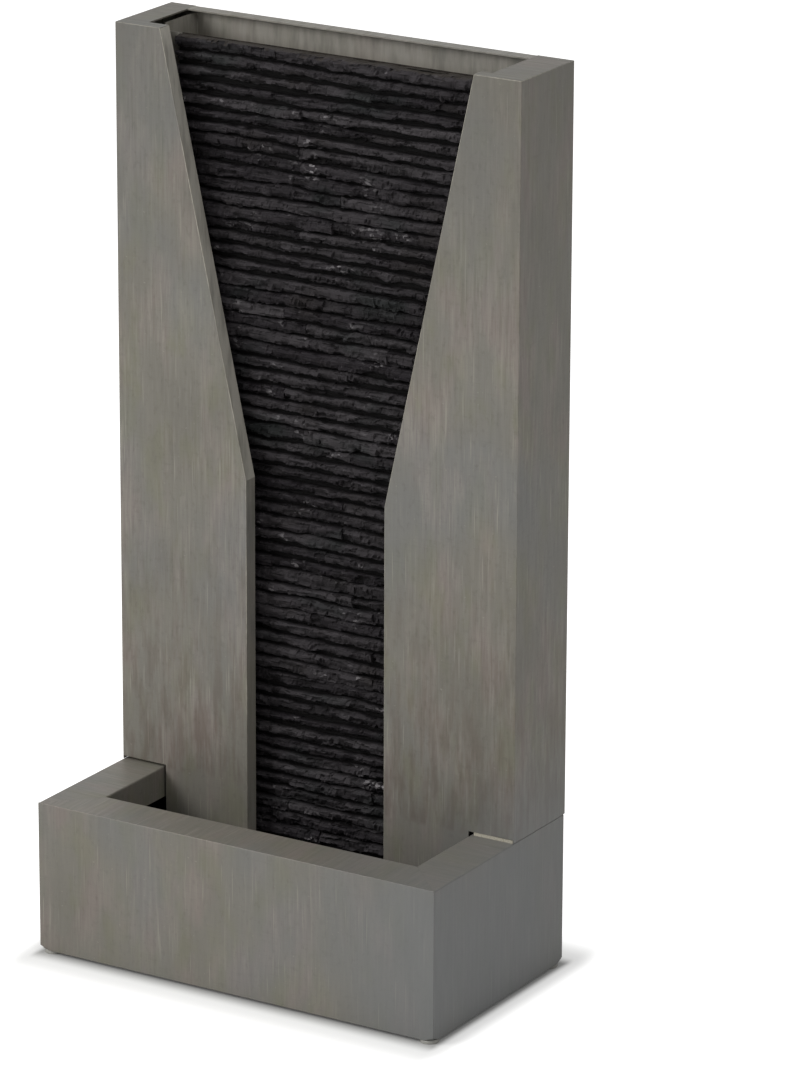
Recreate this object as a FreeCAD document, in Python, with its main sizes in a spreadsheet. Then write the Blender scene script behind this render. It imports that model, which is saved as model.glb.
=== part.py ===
import FreeCAD, Part
import math
import os
import Sketcher

# Garden wall fountain: a folded sheet-metal basin with mitred rims and a black tub inside, and a
# lift-off tower that carries a wall of split slate, a spill trough and the hose of a small pump.
# X runs from side to side, Y from front to back and Z upwards. The origin is on the ground, under
# the middle of the whole fountain.

doc = FreeCAD.newDocument("WallFountain")

# Driving dimensions in millimetres and degrees.
SIZES = [
    ("FountainWidth", "460", "overall width of basin and tower"),
    ("FountainDepth", "250", "overall depth, front of basin to back of tower"),
    ("FountainHeight", "925", "overall height above the ground"),
    ("SheetThickness", "1.5", "folded sheet of basin and tower"),
    ("FootHeight", "4", "pad under each corner"),
    ("FootRadius", "9.5", "pad"),
    ("FootInset", "10", "centre of a pad from both faces of its corner"),
    ("CornerClip", "4", "height of the cut at the lower corners of the basin's walls"),
    ("CornerClipRun", "10", "length of the same cut"),
    ("BasinHeight", "160", "top of the rim above the ground"),
    ("BasinRearInset", "2", "basin's back ahead of the tower's back"),
    ("RimWidth", "49", "flat rim at the front and both sides"),
    ("RimLip", "32", "lip folded down inside the rim"),
    ("RearRimWidth", "15", "narrow rim under the tower's back"),
    ("TrayEdge", "12", "upturned edge of the basin's floor"),
    ("LinerClearance", "1", "tub to the floor's upturned edge"),
    ("LinerWall", "2", "black tub"),
    ("LinerTop", "124", "top of the tub above the ground"),
    ("LinerCorner", "14", "upright corners of the tub"),
    ("LinerFlange", "2", "edge of the tub turned outwards"),
    ("GrommetMargin", "80", "right side of the basin to the cable outlet"),
    ("GrommetZ", "143", "cable outlet above the ground"),
    ("GrommetHole", "8", "radius of the hole in the rear wall"),
    ("GrommetBore", "4", "radius of the way through the grommet"),
    ("GrommetFlange", "11", "radius of the grommet's flanges"),
    ("GrommetLip", "1.5", "thickness of the grommet's flanges"),
    ("TowerDepth", "99", "front of the wings to the back"),
    ("SeatThickness", "3", "strip between the tower and a side rim"),
    ("SeatWidth", "44", "strip, from side to side"),
    ("SeatRecessLeft", "7", "left strip behind the wing's front"),
    ("SeatProudRight", "0.5", "right strip ahead of the wing's front"),
    ("SideGap", "0.4", "side wall of the tower above the rim"),
    ("SkirtClearance", "3", "lower wings to the lips of the side rims"),
    ("SkirtBottom", "60", "lower end of wings and slate above the ground"),
    ("WingTopWidth", "52.5", "each wing at the top"),
    ("SlotWidth", "160", "opening between the wings below the bend"),
    ("BendHeight", "480", "bend of the wings' inner edges above the ground"),
    ("WingReturn", "16", "folded return along a wing's inner edge"),
    ("WingFlange", "15", "top fold behind each wing"),
    ("TopFlangeLeft", "30", "top fold of the left side"),
    ("TopFlangeRight", "40", "top fold of the right side"),
    ("BackFlange", "15", "top fold of the back panel"),
    ("BackReturn", "18", "side folds of the back panel"),
    ("RivetHead", "1", "rivet heads behind the back panel"),
    ("RivetRadius", "1.6", "shank"),
    ("RivetHeadRadius", "3.5", "both heads"),
    ("FastenerClearance", "0.1", "rivet and screw shanks in their holes"),
    ("FastenerSpacing", "220", "two rivets or screws of one bracket"),
    ("FastenerDrop", "14", "rivets and screws below a bracket's web"),
    ("SlateMargin", "53", "side of the tower to the slate wall"),
    ("SlateDrop", "12", "top of the tower to the top of the slate"),
    ("SlateThickness", "16", "proudest course to the back"),
    ("SlateWeb", "6", "solid back of the slate wall"),
    ("SlateClearance", "7.5", "wing's return to the proudest course"),
    ("CoursePitch", "13.4", "one course of slate"),
    ("CourseGap", "1.4", "dark joint under each course"),
    ("CleftDepth", "5", "most that a course stands back"),
    ("StoneLength", "118", "average stone of a course"),
    ("BoardThickness", "4", "board behind the slate"),
    ("BoardDrop", "2", "board below the trough"),
    ("BracketMargin", "80", "side of the tower to a channel's end"),
    ("BracketFlange", "25", "flanges of a channel"),
    ("LowerBracketZ", "230", "top of the lower channel"),
    ("TroughDrop", "55", "top of the tower to the underside of the trough"),
    ("TroughMargin", "32", "side of the tower to the trough's end"),
    ("TroughLip", "42", "front wall of the trough"),
    ("TroughWall", "50", "rear and end walls of the trough"),
    ("HoseFromBack", "33", "hose and pump ahead of the tower's back"),
    ("HoseBore", "6.8", "inner radius of the hose"),
    ("HoseWall", "1.7", "hose"),
    ("HoseDrop", "24", "trough to the upper end of the hose"),
    ("HoseLift", "0.5", "nozzle's collar to the lower end of the hose"),
    ("HoseClearance", "1", "hose in the channels' webs"),
    ("InletFlange", "12", "radius of the inlet's flange in the trough"),
    ("InletFlangeThickness", "2", "inlet's flange"),
    ("InletThread", "7.8", "radius of the inlet's thread"),
    ("InletBore", "4.6", "radius of the way through the inlet"),
    ("InletSpigot", "22", "length of the inlet inside the hose"),
    ("SealThickness", "1", "washer under the inlet's flange"),
    ("NutAcross", "24", "nut across its flats"),
    ("NutThickness", "6", "nut"),
    ("ClampWall", "1.2", "band round the hose at the inlet"),
    ("ClampWidth", "8", "band"),
    ("ClampLug", "7", "lug of the band"),
    ("ClipMouth", "10", "opening of the clip's ring"),
    ("ClipWall", "2", "ring of the hose clip"),
    ("ClipWidth", "12", "hose clip, top to bottom"),
    ("ClipArm", "5", "arm of the hose clip"),
    ("ClipFoot", "30", "foot of the hose clip, side to side"),
    ("PumpSize", "42", "pump body, width and height"),
    ("PumpCorner", "4", "rounded corners of the pump body"),
    ("MotorLength", "42", "motor block along the shaft"),
    ("VoluteLength", "14", "pump chamber's housing along the shaft"),
    ("VoluteFace", "3", "wall with the inlet holes"),
    ("ChamberRadius", "14.4", "pump chamber"),
    ("WellRadius", "8.6", "well of the rotor"),
    ("WellDepth", "32", "well of the rotor"),
    ("DuctRadius", "4", "duct from the chamber to the nozzle"),
    ("NozzleRadius", "6.5", "nozzle in the hose"),
    ("NozzleHeight", "28", "nozzle above the pump"),
    ("NozzleSocket", "6", "nozzle in the pump"),
    ("NozzleCollar", "2", "collar of the nozzle on the pump"),
    ("NozzleCollarRadius", "9", "collar of the nozzle on the pump"),
    ("ShaftRadius", "1.25", "ceramic shaft"),
    ("RotorClearance", "0.05", "rotor on its shaft"),
    ("RotorRadius", "8", "magnet of the rotor"),
    ("RotorLength", "27", "magnet of the rotor"),
    ("RotorPlay", "1.5", "rotor between the bushes, at each end"),
    ("BushRadius", "2.5", "shaft bushes"),
    ("BushLength", "3.5", "front bush"),
    ("BushSeat", "2.5", "depth of a bush in its seat"),
    ("ImpellerRadius", "12.5", "impeller"),
    ("ImpellerHub", "3.5", "radius of the impeller's hub"),
    ("ImpellerNeck", "5.6", "radius of the neck to the magnet"),
    ("ImpellerDisc", "1.5", "back disc of the impeller"),
    ("BladeHeight", "6.5", "impeller blades along the shaft"),
    ("BladeThickness", "1.2", "impeller blade"),
    ("BladeCount", "6", "impeller blades"),
    ("InletHoleRadius", "3.2", "inlet holes of the chamber"),
    ("InletHoleCircle", "7.2", "radius of the circle of inlet holes"),
    ("InletHoleCount", "3", "inlet holes"),
    ("ShutterRadius", "11.5", "shutter before the inlet holes"),
    ("ShutterThickness", "2", "shutter"),
    ("ShutterGap", "0.3", "shutter to the pump chamber's wall"),
    ("StemRadius", "2.5", "stem of the flow dial"),
    ("StemClearance", "0.06", "stem in the strainer"),
    ("DialRadius", "9", "flow dial"),
    ("DialThickness", "5", "flow dial"),
    ("DialGrip", "1.6", "grip bar on the flow dial"),
    ("StrainerLength", "28", "strainer ahead of the pump chamber"),
    ("StrainerWall", "1.5", "strainer"),
    ("StrainerFit", "0.3", "strainer round the pump body"),
    ("StrainerSleeve", "4", "strainer over the pump body"),
    ("StrainerSlot", "2", "width of a slot"),
    ("StrainerSlotPitch", "4.5", "slots of the strainer"),
    ("StrainerSlotCount", "7", "slots in each side"),
    ("SpongeGap", "0.5", "sponge to the strainer's walls"),
    ("SpongeLength", "19", "sponge along the shaft"),
    ("SpongeBore", "5", "way for the stem through the sponge"),
    ("CupHeight", "8", "suction cup"),
    ("CupRadius", "8.5", "suction cup"),
    ("CupEdge", "1.5", "edge of the cup round its hollow"),
    ("CupHollow", "2.5", "depth of the hollow"),
    ("CupNeck", "4.5", "radius of the cup's top"),
    ("CupStud", "2.5", "length and radius of the cup's stud"),
    ("CupSpacing", "27", "suction cups, centre to centre"),
    ("GlandRadius", "6", "cable gland of the pump"),
    ("GlandLength", "10", "cable gland outside the pump"),
    ("GlandSocket", "5", "cable gland inside the pump"),
    ("GlandNeck", "5", "radius of the gland inside the pump"),
    ("GlandBore", "3", "way for the cable"),
    ("GrooveDepth", "1.5", "grooves over the motor block"),
    ("GrooveWidth", "4", "grooves over the motor block"),
    ("GroovePitch", "9", "grooves over the motor block"),
    ("GrooveCount", "4", "grooves over the motor block"),
    ("Overshoot", "1", "how far a cut runs past the faces that it goes through"),
]

sheet = doc.addObject("Spreadsheet::Sheet", "Sizes")
for row, (alias, value, note) in enumerate(SIZES, start=1):
    sheet.set(f"A{row}", alias)
    sheet.set(f"B{row}", value)
    sheet.set(f"C{row}", note)
    sheet.setAlias(f"B{row}", alias)
doc.recompute()

# Places that several pieces share, each worked out from the sheet.
SHEET = "Sizes.SheetThickness"
HALF_WIDTH = "(Sizes.FountainWidth / 2)"
HALF_DEPTH = "(Sizes.FountainDepth / 2)"
TOP = "Sizes.FountainHeight"
FLOOR = "Sizes.FootHeight"
RIM = "Sizes.BasinHeight"
RIM_X = f"({HALF_WIDTH} - Sizes.RimWidth)"
RIM_Y = f"({HALF_DEPTH} - Sizes.RimWidth)"
BASIN_BACK = f"({HALF_DEPTH} - Sizes.BasinRearInset)"
GROMMET_X = f"({HALF_WIDTH} - Sizes.GrommetMargin)"
TOWER_FRONT = f"({HALF_DEPTH} - Sizes.TowerDepth)"
SEAT = f"({RIM} + Sizes.SeatThickness)"
SKIRT_X = f"({RIM_X} - Sizes.SkirtClearance)"
SKIRT_BOTTOM = "Sizes.SkirtBottom"
SLOT_X = "(Sizes.SlotWidth / 2)"
WINDOW_X = f"({HALF_WIDTH} - Sizes.WingTopWidth)"
BEND = "Sizes.BendHeight"
PANEL_BACK = f"({HALF_DEPTH} - Sizes.RivetHead)"
PANEL_FACE = f"({PANEL_BACK} - {SHEET})"
SLATE_FRONT = f"({TOWER_FRONT} + Sizes.WingReturn + Sizes.SlateClearance)"
SLATE_BACK = f"({SLATE_FRONT} + Sizes.SlateThickness)"
BOARD_BACK = f"({SLATE_BACK} + Sizes.BoardThickness)"
HOSE_Y = f"({HALF_DEPTH} - Sizes.HoseFromBack)"
LINER_FLOOR = f"({FLOOR} + {SHEET} + Sizes.LinerWall)"
SLATE_X = f"({HALF_WIDTH} - Sizes.SlateMargin)"
SLATE_TOP = f"({TOP} - Sizes.SlateDrop)"
TROUGH_BASE = f"({TOP} - Sizes.TroughDrop)"
HOSE_TOP = f"({TROUGH_BASE} - Sizes.HoseDrop)"
HOSE_OUTER = "(Sizes.HoseBore + Sizes.HoseWall)"
OVER = "Sizes.Overshoot"
PUMP_HALF = "(Sizes.PumpSize / 2)"
PUMP_AXIS = f"({LINER_FLOOR} + Sizes.CupHeight + {PUMP_HALF})"
VOLUTE_HALF = "(Sizes.VoluteLength / 2)"
MOTOR_END = f"({VOLUTE_HALF} + Sizes.MotorLength)"
STRAINER_END = f"({VOLUTE_HALF} + Sizes.StrainerLength)"


def size(expression):
    """The value of an expression of the sheet's cells."""
    return float(sheet.evalExpression(expression.replace("Sizes.", "")))


def piece(label):
    """A body for one solid piece, in the fountain's own frame."""
    body = doc.addObject("PartDesign::Body", label)
    body.Label = label
    return body


def place(body, x="0", y="0", z="0", axis=(0, 0, 1), angle=0):
    """Moves a piece to expressions of the sheet, turned about an axis by an angle."""
    rotation = FreeCAD.Rotation(FreeCAD.Vector(*axis), angle)
    body.Placement = FreeCAD.Placement(FreeCAD.Vector(), rotation)
    body.setExpression("Placement.Base.x", x)
    body.setExpression("Placement.Base.y", y)
    body.setExpression("Placement.Base.z", z)
    return body


def plane_of(body, role):
    """One of the body's own origin planes."""
    return next(feature for feature in body.Origin.OriginFeatures if feature.Role == role)


def bound(sketch, kind, element, point, value, expression):
    """Holds a point's X or Y distance from the sketch's origin at an expression."""
    index = sketch.addConstraint(Sketcher.Constraint(kind, -1, 1, element, point, value))
    sketch.setExpression(f"Constraints[{index}]", expression)


def draw_corners(sketch, corners):
    """A closed outline through corners given as pairs of expressions."""
    points = [FreeCAD.Vector(size(x), size(y), 0) for x, y in corners]
    first = sketch.GeometryCount
    count = len(points)
    for index, point in enumerate(points):
        sketch.addGeometry(Part.LineSegment(point, points[(index + 1) % count]))
    for index in range(count):
        following = first + (index + 1) % count
        sketch.addConstraint(Sketcher.Constraint("Coincident", first + index, 2, following, 1))
    for index, (x, y) in enumerate(corners):
        bound(sketch, "DistanceX", first + index, 1, points[index].x, x)
        bound(sketch, "DistanceY", first + index, 1, points[index].y, y)


def draw_circle(sketch, x, y, radius):
    """A circle with its centre and radius given as expressions."""
    centre = FreeCAD.Vector(size(x), size(y), 0)
    element = sketch.addGeometry(Part.Circle(centre, FreeCAD.Vector(0, 0, 1), size(radius)))
    bound(sketch, "DistanceX", element, 3, centre.x, x)
    bound(sketch, "DistanceY", element, 3, centre.y, y)
    index = sketch.addConstraint(Sketcher.Constraint("Radius", element, size(radius)))
    sketch.setExpression(f"Constraints[{index}]", radius)


def sketched(body, name, role, level, loops):
    """A sketch on an origin plane, moved out along its normal. A loop is corners or a circle."""
    sketch = body.newObject("Sketcher::SketchObject", name)
    sketch.AttachmentSupport = [(plane_of(body, role), "")]
    sketch.MapMode = "FlatFace"
    sketch.setExpression("AttachmentOffset.Base.z", level)
    for loop in loops:
        if isinstance(loop, list):
            draw_corners(sketch, loop)
        else:
            draw_circle(sketch, *loop)
    return sketch


def pad(body, name, role, level, loops, length, against=False, middle=False):
    """Adds material along the plane's normal, against it, or to both sides of it."""
    feature = body.newObject("PartDesign::Pad", name)
    feature.Profile = sketched(body, name + "_sketch", role, level, loops)
    feature.setExpression("Length", length)
    feature.Reversed = against
    feature.Midplane = middle
    return feature


def pocket(body, name, role, level, loops, length, against=True, middle=False):
    """Cuts material along the plane's normal, against it, or to both sides of it."""
    feature = body.newObject("PartDesign::Pocket", name)
    feature.Profile = sketched(body, name + "_sketch", role, level, loops)
    feature.setExpression("Length", length)
    feature.Reversed = not against
    feature.Midplane = middle
    return feature


def turn(body, name, corners):
    """Turns a half section of radii and heights about the body's own Z axis."""
    feature = body.newObject("PartDesign::Revolution", name)
    sketch = sketched(body, name + "_sketch", "XZ_Plane", "0", [corners])
    feature.Profile = sketch
    feature.ReferenceAxis = (sketch, ["V_Axis"])
    feature.Angle = 360
    return feature


def around(body, name, feature, count):
    """Repeats a feature about the body's own X axis."""
    pattern = body.newObject("PartDesign::PolarPattern", name)
    pattern.Originals = [feature]
    pattern.Axis = (plane_of(body, "X_Axis"), [""])
    pattern.Angle = 360
    pattern.setExpression("Occurrences", count)
    body.Tip = pattern
    return pattern


def along(body, name, feature, role, length, count):
    """Repeats a feature along one of the body's own axes."""
    pattern = body.newObject("PartDesign::LinearPattern", name)
    pattern.Originals = [feature]
    pattern.Direction = (plane_of(body, role), [""])
    pattern.setExpression("Length", length)
    pattern.setExpression("Occurrences", count)
    body.Tip = pattern
    return pattern


def rounded(body, name, radius, wanted):
    """Fillets the edges of the body's last feature that a test picks."""
    doc.recompute()
    base = body.Tip
    edges = enumerate(base.Shape.Edges, start=1)
    names = [f"Edge{index}" for index, edge in edges if wanted(edge)]
    feature = body.newObject("PartDesign::Fillet", name)
    feature.Base = (base, names)
    feature.setExpression("Radius", radius)
    return feature


UPWARDS = FreeCAD.Vector(0, 0, 1)
ALONG_X = FreeCAD.Vector(1, 0, 0)


def runs_along(edge, direction):
    """Whether an edge is straight and parallel to a direction."""
    if edge.Curve.TypeId != "Part::GeomLine":
        return False
    span = edge.Vertexes[-1].Point - edge.Vertexes[0].Point
    return abs(abs(span.normalize().dot(direction)) - 1) < 1e-6


def rectangle(left, right, low, high):
    """Corners of an upright rectangle."""
    return [(left, low), (right, low), (right, high), (left, high)]


# Basin: four walls of folded sheet whose rims meet in mitres at the front, and a floor tray.

def rim_section(outer, inner, sign):
    """Section of a wall with its flat rim and the lip folded down; sign tells the wall's side."""
    return [
        (f"{sign}{outer}", FLOOR),
        (f"{sign}{outer}", RIM),
        (f"{sign}{inner}", RIM),
        (f"{sign}{inner}", f"{RIM} - Sizes.RimLip"),
        (f"{sign}({inner} + {SHEET})", f"{RIM} - Sizes.RimLip"),
        (f"{sign}({inner} + {SHEET})", f"{RIM} - {SHEET}"),
        (f"{sign}({outer} - {SHEET})", f"{RIM} - {SHEET}"),
        (f"{sign}({outer} - {SHEET})", FLOOR),
    ]


def corner_clip(end, sign):
    """Triangle cut from a wall's lower corner; end is the wall's end, sign points out past it."""
    return [
        (f"{end} {sign} {OVER}", f"{FLOOR} - {OVER}"),
        (f"{end} {sign} {OVER}", f"{FLOOR} + Sizes.CornerClip"),
        (end, f"{FLOOR} + Sizes.CornerClip"),
        (f"{end} {'-' if sign == '+' else '+'} Sizes.CornerClipRun", FLOOR),
        (f"{end} {'-' if sign == '+' else '+'} Sizes.CornerClipRun", f"{FLOOR} - {OVER}"),
    ]


def basin_wall_front():
    body = piece("basin_wall_front")
    section = rim_section(HALF_DEPTH, RIM_Y, "-")
    pad(body, "front_fold", "YZ_Plane", "0", [section], "Sizes.FountainWidth", middle=True)
    mitres = []
    for sign in ("-", "+"):
        mitres.append([
            (f"{sign}({HALF_WIDTH} - {SHEET})", f"-{HALF_DEPTH} + {SHEET}"),
            (f"{sign}{RIM_X}", f"-{RIM_Y}"),
            (f"{sign}({HALF_WIDTH} + {OVER})", f"-{RIM_Y}"),
            (f"{sign}({HALF_WIDTH} + {OVER})", f"-{HALF_DEPTH} + {SHEET}"),
        ])
    pocket(body, "front_mitres", "XY_Plane", RIM, mitres, f"Sizes.RimLip + {OVER}")
    clips = [corner_clip(f"{sign}{HALF_WIDTH}", sign) for sign in ("-", "+")]
    pocket(body, "front_clips", "XZ_Plane", f"{HALF_DEPTH} + {OVER}", clips, f"{SHEET} + 2 * {OVER}")
    return body


def basin_wall_side(label, sign):
    body = piece(label)
    section = rim_section(HALF_WIDTH, RIM_X, sign)
    run = f"Sizes.FountainDepth - Sizes.BasinRearInset - 2 * {SHEET}"
    pad(body, label + "_fold", "XZ_Plane", f"{HALF_DEPTH} - {SHEET}", [section], run, against=True)
    mitre = [
        (f"{sign}({HALF_WIDTH} - {SHEET})", f"-{HALF_DEPTH} + {SHEET}"),
        (f"{sign}{RIM_X}", f"-{RIM_Y}"),
        (f"{sign}({RIM_X} - {OVER})", f"-{RIM_Y}"),
        (f"{sign}({RIM_X} - {OVER})", f"-{HALF_DEPTH} + {SHEET}"),
    ]
    pocket(body, label + "_mitre", "XY_Plane", RIM, [mitre], f"Sizes.RimLip + {OVER}")
    clips = [corner_clip(f"-{HALF_DEPTH}", "-"), corner_clip(BASIN_BACK, "+")]
    outside = f"{sign}{HALF_WIDTH} {sign} {OVER}"
    pocket(body, label + "_clips", "YZ_Plane", outside, clips, f"{SHEET} + 2 * {OVER}", against=sign == "+")
    return body


def basin_wall_rear():
    body = piece("basin_wall_rear")
    section = [
        (BASIN_BACK, FLOOR),
        (BASIN_BACK, RIM),
        (f"{BASIN_BACK} - Sizes.RearRimWidth", RIM),
        (f"{BASIN_BACK} - Sizes.RearRimWidth", f"{RIM} - {SHEET}"),
        (f"{BASIN_BACK} - {SHEET}", f"{RIM} - {SHEET}"),
        (f"{BASIN_BACK} - {SHEET}", FLOOR),
    ]
    pad(body, "rear_fold", "YZ_Plane", "0", [section], "Sizes.FountainWidth", middle=True)
    ends = []
    for sign in ("-", "+"):
        ends.append([
            (f"{sign}{RIM_X}", f"{BASIN_BACK} - Sizes.RearRimWidth"),
            (f"{sign}({HALF_WIDTH} + {OVER})", f"{BASIN_BACK} - Sizes.RearRimWidth"),
            (f"{sign}({HALF_WIDTH} + {OVER})", f"{BASIN_BACK} - {SHEET}"),
            (f"{sign}{RIM_X}", f"{BASIN_BACK} - {SHEET}"),
        ])
    pocket(body, "rear_rim_ends", "XY_Plane", RIM, ends, SHEET)
    outlet = (GROMMET_X, "Sizes.GrommetZ", "Sizes.GrommetHole")
    behind = f"-{BASIN_BACK} - {OVER}"
    pocket(body, "cable_outlet", "XZ_Plane", behind, [outlet], f"{SHEET} + 2 * {OVER}", against=False)
    clips = [corner_clip(f"{sign}{HALF_WIDTH}", sign) for sign in ("-", "+")]
    pocket(body, "rear_clips", "XZ_Plane", behind, clips, f"{SHEET} + 2 * {OVER}", against=False)
    return body


def basin_floor():
    body = piece("basin_floor")
    inner = f"({HALF_WIDTH} - {SHEET})"
    front = f"-{HALF_DEPTH} + {SHEET}"
    back = f"{BASIN_BACK} - {SHEET}"
    outline = rectangle(f"-{inner}", inner, front, back)
    pad(body, "tray", "XY_Plane", FLOOR, [outline], f"{SHEET} + Sizes.TrayEdge")
    hollow = rectangle(f"-{inner} + {SHEET}", f"{inner} - {SHEET}", f"{front} + {SHEET}", f"{back} - {SHEET}")
    top = f"{FLOOR} + {SHEET} + Sizes.TrayEdge"
    pocket(body, "tray_hollow", "XY_Plane", top, [hollow], "Sizes.TrayEdge")
    return body


def basin_liner():
    """Black tub with rounded upright corners and its edge turned outwards, under the lips."""
    body = piece("basin_liner")
    inset = f"(2 * {SHEET} + Sizes.LinerClearance)"
    outer_x = f"({HALF_WIDTH} - {inset})"
    front = f"-{HALF_DEPTH} + {inset}"
    back = f"{BASIN_BACK} - {inset}"
    base = f"{FLOOR} + {SHEET}"
    wall = "Sizes.LinerWall"
    turned = "Sizes.LinerFlange"
    outline = rectangle(f"-{outer_x}", outer_x, front, back)
    edge_x = f"({outer_x} + {turned})"
    edge = rectangle(f"-{edge_x}", edge_x, f"{front} - {turned}", f"{back} + {turned}")
    hollow = rectangle(f"-{outer_x} + {wall}", f"{outer_x} - {wall}", f"{front} + {wall}", f"{back} - {wall}")
    pad(body, "tub", "XY_Plane", base, [outline], f"Sizes.LinerTop - ({base})")
    pad(body, "tub_edge", "XY_Plane", "Sizes.LinerTop", [edge], wall, against=True)
    pocket(body, "tub_hollow", "XY_Plane", "Sizes.LinerTop", [hollow], f"Sizes.LinerTop - ({base} + {wall})")

    def uprights_at(reach):
        return lambda edge: runs_along(edge, UPWARDS) and abs(abs(edge.CenterOfMass.x) - reach) < 1e-3

    outer = size(outer_x)
    rounded(body, "tub_corners", "Sizes.LinerCorner", uprights_at(outer))
    rounded(body, "edge_corners", "Sizes.LinerCorner", uprights_at(outer + size(turned)))
    rounded(body, "hollow_corners", f"Sizes.LinerCorner - {wall}", uprights_at(outer - size(wall)))
    return body


def revolved_at(label, corners, x, y, z, axis=(0, 0, 1), angle=0):
    """A turned piece whose own Z axis stands at a place and along a turned direction."""
    body = piece(label)
    turn(body, label + "_turn", corners)
    return place(body, x, y, z, axis, angle)


def foot(label, side, y):
    body = piece(label)
    pad(body, label + "_disc", "XY_Plane", "0", [("0", "0", "Sizes.FootRadius")], "Sizes.FootHeight")
    return place(body, f"{side}({HALF_WIDTH} - Sizes.FootInset)", y, "0")


def cable_grommet():
    lip = "Sizes.GrommetLip"
    corners = [
        ("Sizes.GrommetBore", f"-{SHEET} - {lip}"),
        ("Sizes.GrommetFlange", f"-{SHEET} - {lip}"),
        ("Sizes.GrommetFlange", f"-{SHEET}"),
        ("Sizes.GrommetHole", f"-{SHEET}"),
        ("Sizes.GrommetHole", "0"),
        ("Sizes.GrommetFlange", "0"),
        ("Sizes.GrommetFlange", lip),
        ("Sizes.GrommetBore", lip),
    ]
    backwards = ((1, 0, 0), -90)
    return revolved_at("cable_grommet", corners, GROMMET_X, BASIN_BACK, "Sizes.GrommetZ", *backwards)


# Tower housing: two side casings, each one folded sheet with its wing, return and flanges.

def wing_edge(sign, offset):
    """Inner edge of a wing from the top down, moved outwards by an offset."""
    return [
        (f"{sign}({WINDOW_X} + {offset})", TOP),
        (f"{sign}({SLOT_X} + {offset})", BEND),
        (f"{sign}({SLOT_X} + {offset})", SKIRT_BOTTOM),
    ]


def tower_side(label, sign, flange):
    body = piece(label)
    front = f"-{TOWER_FRONT}"
    strip = wing_edge(sign, "0") + list(reversed(wing_edge(sign, SHEET)))
    pad(body, label + "_return", "XZ_Plane", front, [strip], "Sizes.WingReturn", against=True)
    wing = [
        (f"{sign}{HALF_WIDTH}", SEAT),
        (f"{sign}{HALF_WIDTH}", TOP),
        (f"{sign}{WINDOW_X}", TOP),
        (f"{sign}{SLOT_X}", BEND),
        (f"{sign}{SLOT_X}", SKIRT_BOTTOM),
        (f"{sign}{SKIRT_X}", SKIRT_BOTTOM),
        (f"{sign}{SKIRT_X}", SEAT),
    ]
    pad(body, label + "_wing", "XZ_Plane", front, [wing], SHEET, against=True)
    side = rectangle(TOWER_FRONT, HALF_DEPTH, f"{RIM} + Sizes.SideGap", TOP)
    level = f"{sign}({HALF_WIDTH} - {SHEET} / 2)"
    pad(body, label + "_wall", "YZ_Plane", level, [side], SHEET, middle=True)
    crown = [
        (f"{sign}{HALF_WIDTH}", TOWER_FRONT),
        (f"{sign}{WINDOW_X}", TOWER_FRONT),
        (f"{sign}{WINDOW_X}", f"{TOWER_FRONT} + Sizes.WingFlange"),
        (f"{sign}({HALF_WIDTH} - {flange})", f"{TOWER_FRONT} + Sizes.WingFlange"),
        (f"{sign}({HALF_WIDTH} - {flange})", HALF_DEPTH),
        (f"{sign}{HALF_WIDTH}", HALF_DEPTH),
    ]
    pad(body, label + "_crown", "XY_Plane", TOP, [crown], SHEET, against=True)
    sole = [
        (f"{sign}{HALF_WIDTH}", TOWER_FRONT),
        (f"{sign}{RIM_X}", TOWER_FRONT),
        (f"{sign}{RIM_X}", PANEL_FACE),
        (f"{sign}{HALF_WIDTH}", PANEL_FACE),
    ]
    pad(body, label + "_sole", "XY_Plane", SEAT, [sole], SHEET)
    return body


def fastener_spots(height):
    """Centres of a bracket's two fasteners, as seen from the front."""
    reach = "(Sizes.FastenerSpacing / 2)"
    return [(f"{sign}{reach}", f"{height} - Sizes.FastenerDrop") for sign in ("-", "+")]


BRACKET_HEIGHTS = [TROUGH_BASE, "Sizes.LowerBracketZ"]


def tower_back_panel():
    body = piece("tower_back_panel")
    inner = f"({HALF_WIDTH} - {SHEET})"
    outline = rectangle(f"-{inner}", inner, f"{RIM} + Sizes.SideGap", TOP)
    pad(body, "panel", "XZ_Plane", f"-{PANEL_BACK}", [outline], SHEET)
    crown = rectangle(
        f"-({HALF_WIDTH} - Sizes.TopFlangeLeft)",
        f"{HALF_WIDTH} - Sizes.TopFlangeRight",
        f"{PANEL_BACK} - Sizes.BackFlange",
        PANEL_BACK,
    )
    pad(body, "panel_crown", "XY_Plane", TOP, [crown], SHEET, against=True)
    corner_cuts = []
    for sign, flange in (("-", "Sizes.TopFlangeLeft"), ("+", "Sizes.TopFlangeRight")):
        flange_end = f"{sign}({HALF_WIDTH} - {flange})"
        outside = f"{sign}{HALF_WIDTH}"
        corner_cuts.append(rectangle(outside, flange_end, f"{TOP} - {SHEET}", f"{TOP} + {OVER}"))
    behind = f"-{PANEL_BACK} - {OVER}"
    pocket(body, "panel_corners", "XZ_Plane", behind, corner_cuts, f"{SHEET} + 2 * {OVER}", against=False)
    low = f"{SEAT} + 2 * {SHEET}"
    high = f"{TOP} - 2 * {SHEET}"
    for name, sign in (("left", "-"), ("right", "+")):
        fold = rectangle(f"{PANEL_BACK} - Sizes.BackReturn", PANEL_BACK, low, high)
        level = f"{sign}({inner} - {SHEET} / 2)"
        pad(body, f"panel_fold_{name}", "YZ_Plane", level, [fold], SHEET, middle=True)
    radius = "Sizes.RivetRadius + Sizes.FastenerClearance"
    spots = [(x, z, radius) for height in BRACKET_HEIGHTS for x, z in fastener_spots(height)]
    pocket(body, "rivet_holes", "XZ_Plane", behind, spots, f"{SHEET} + 2 * {OVER}", against=False)
    return body


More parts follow.
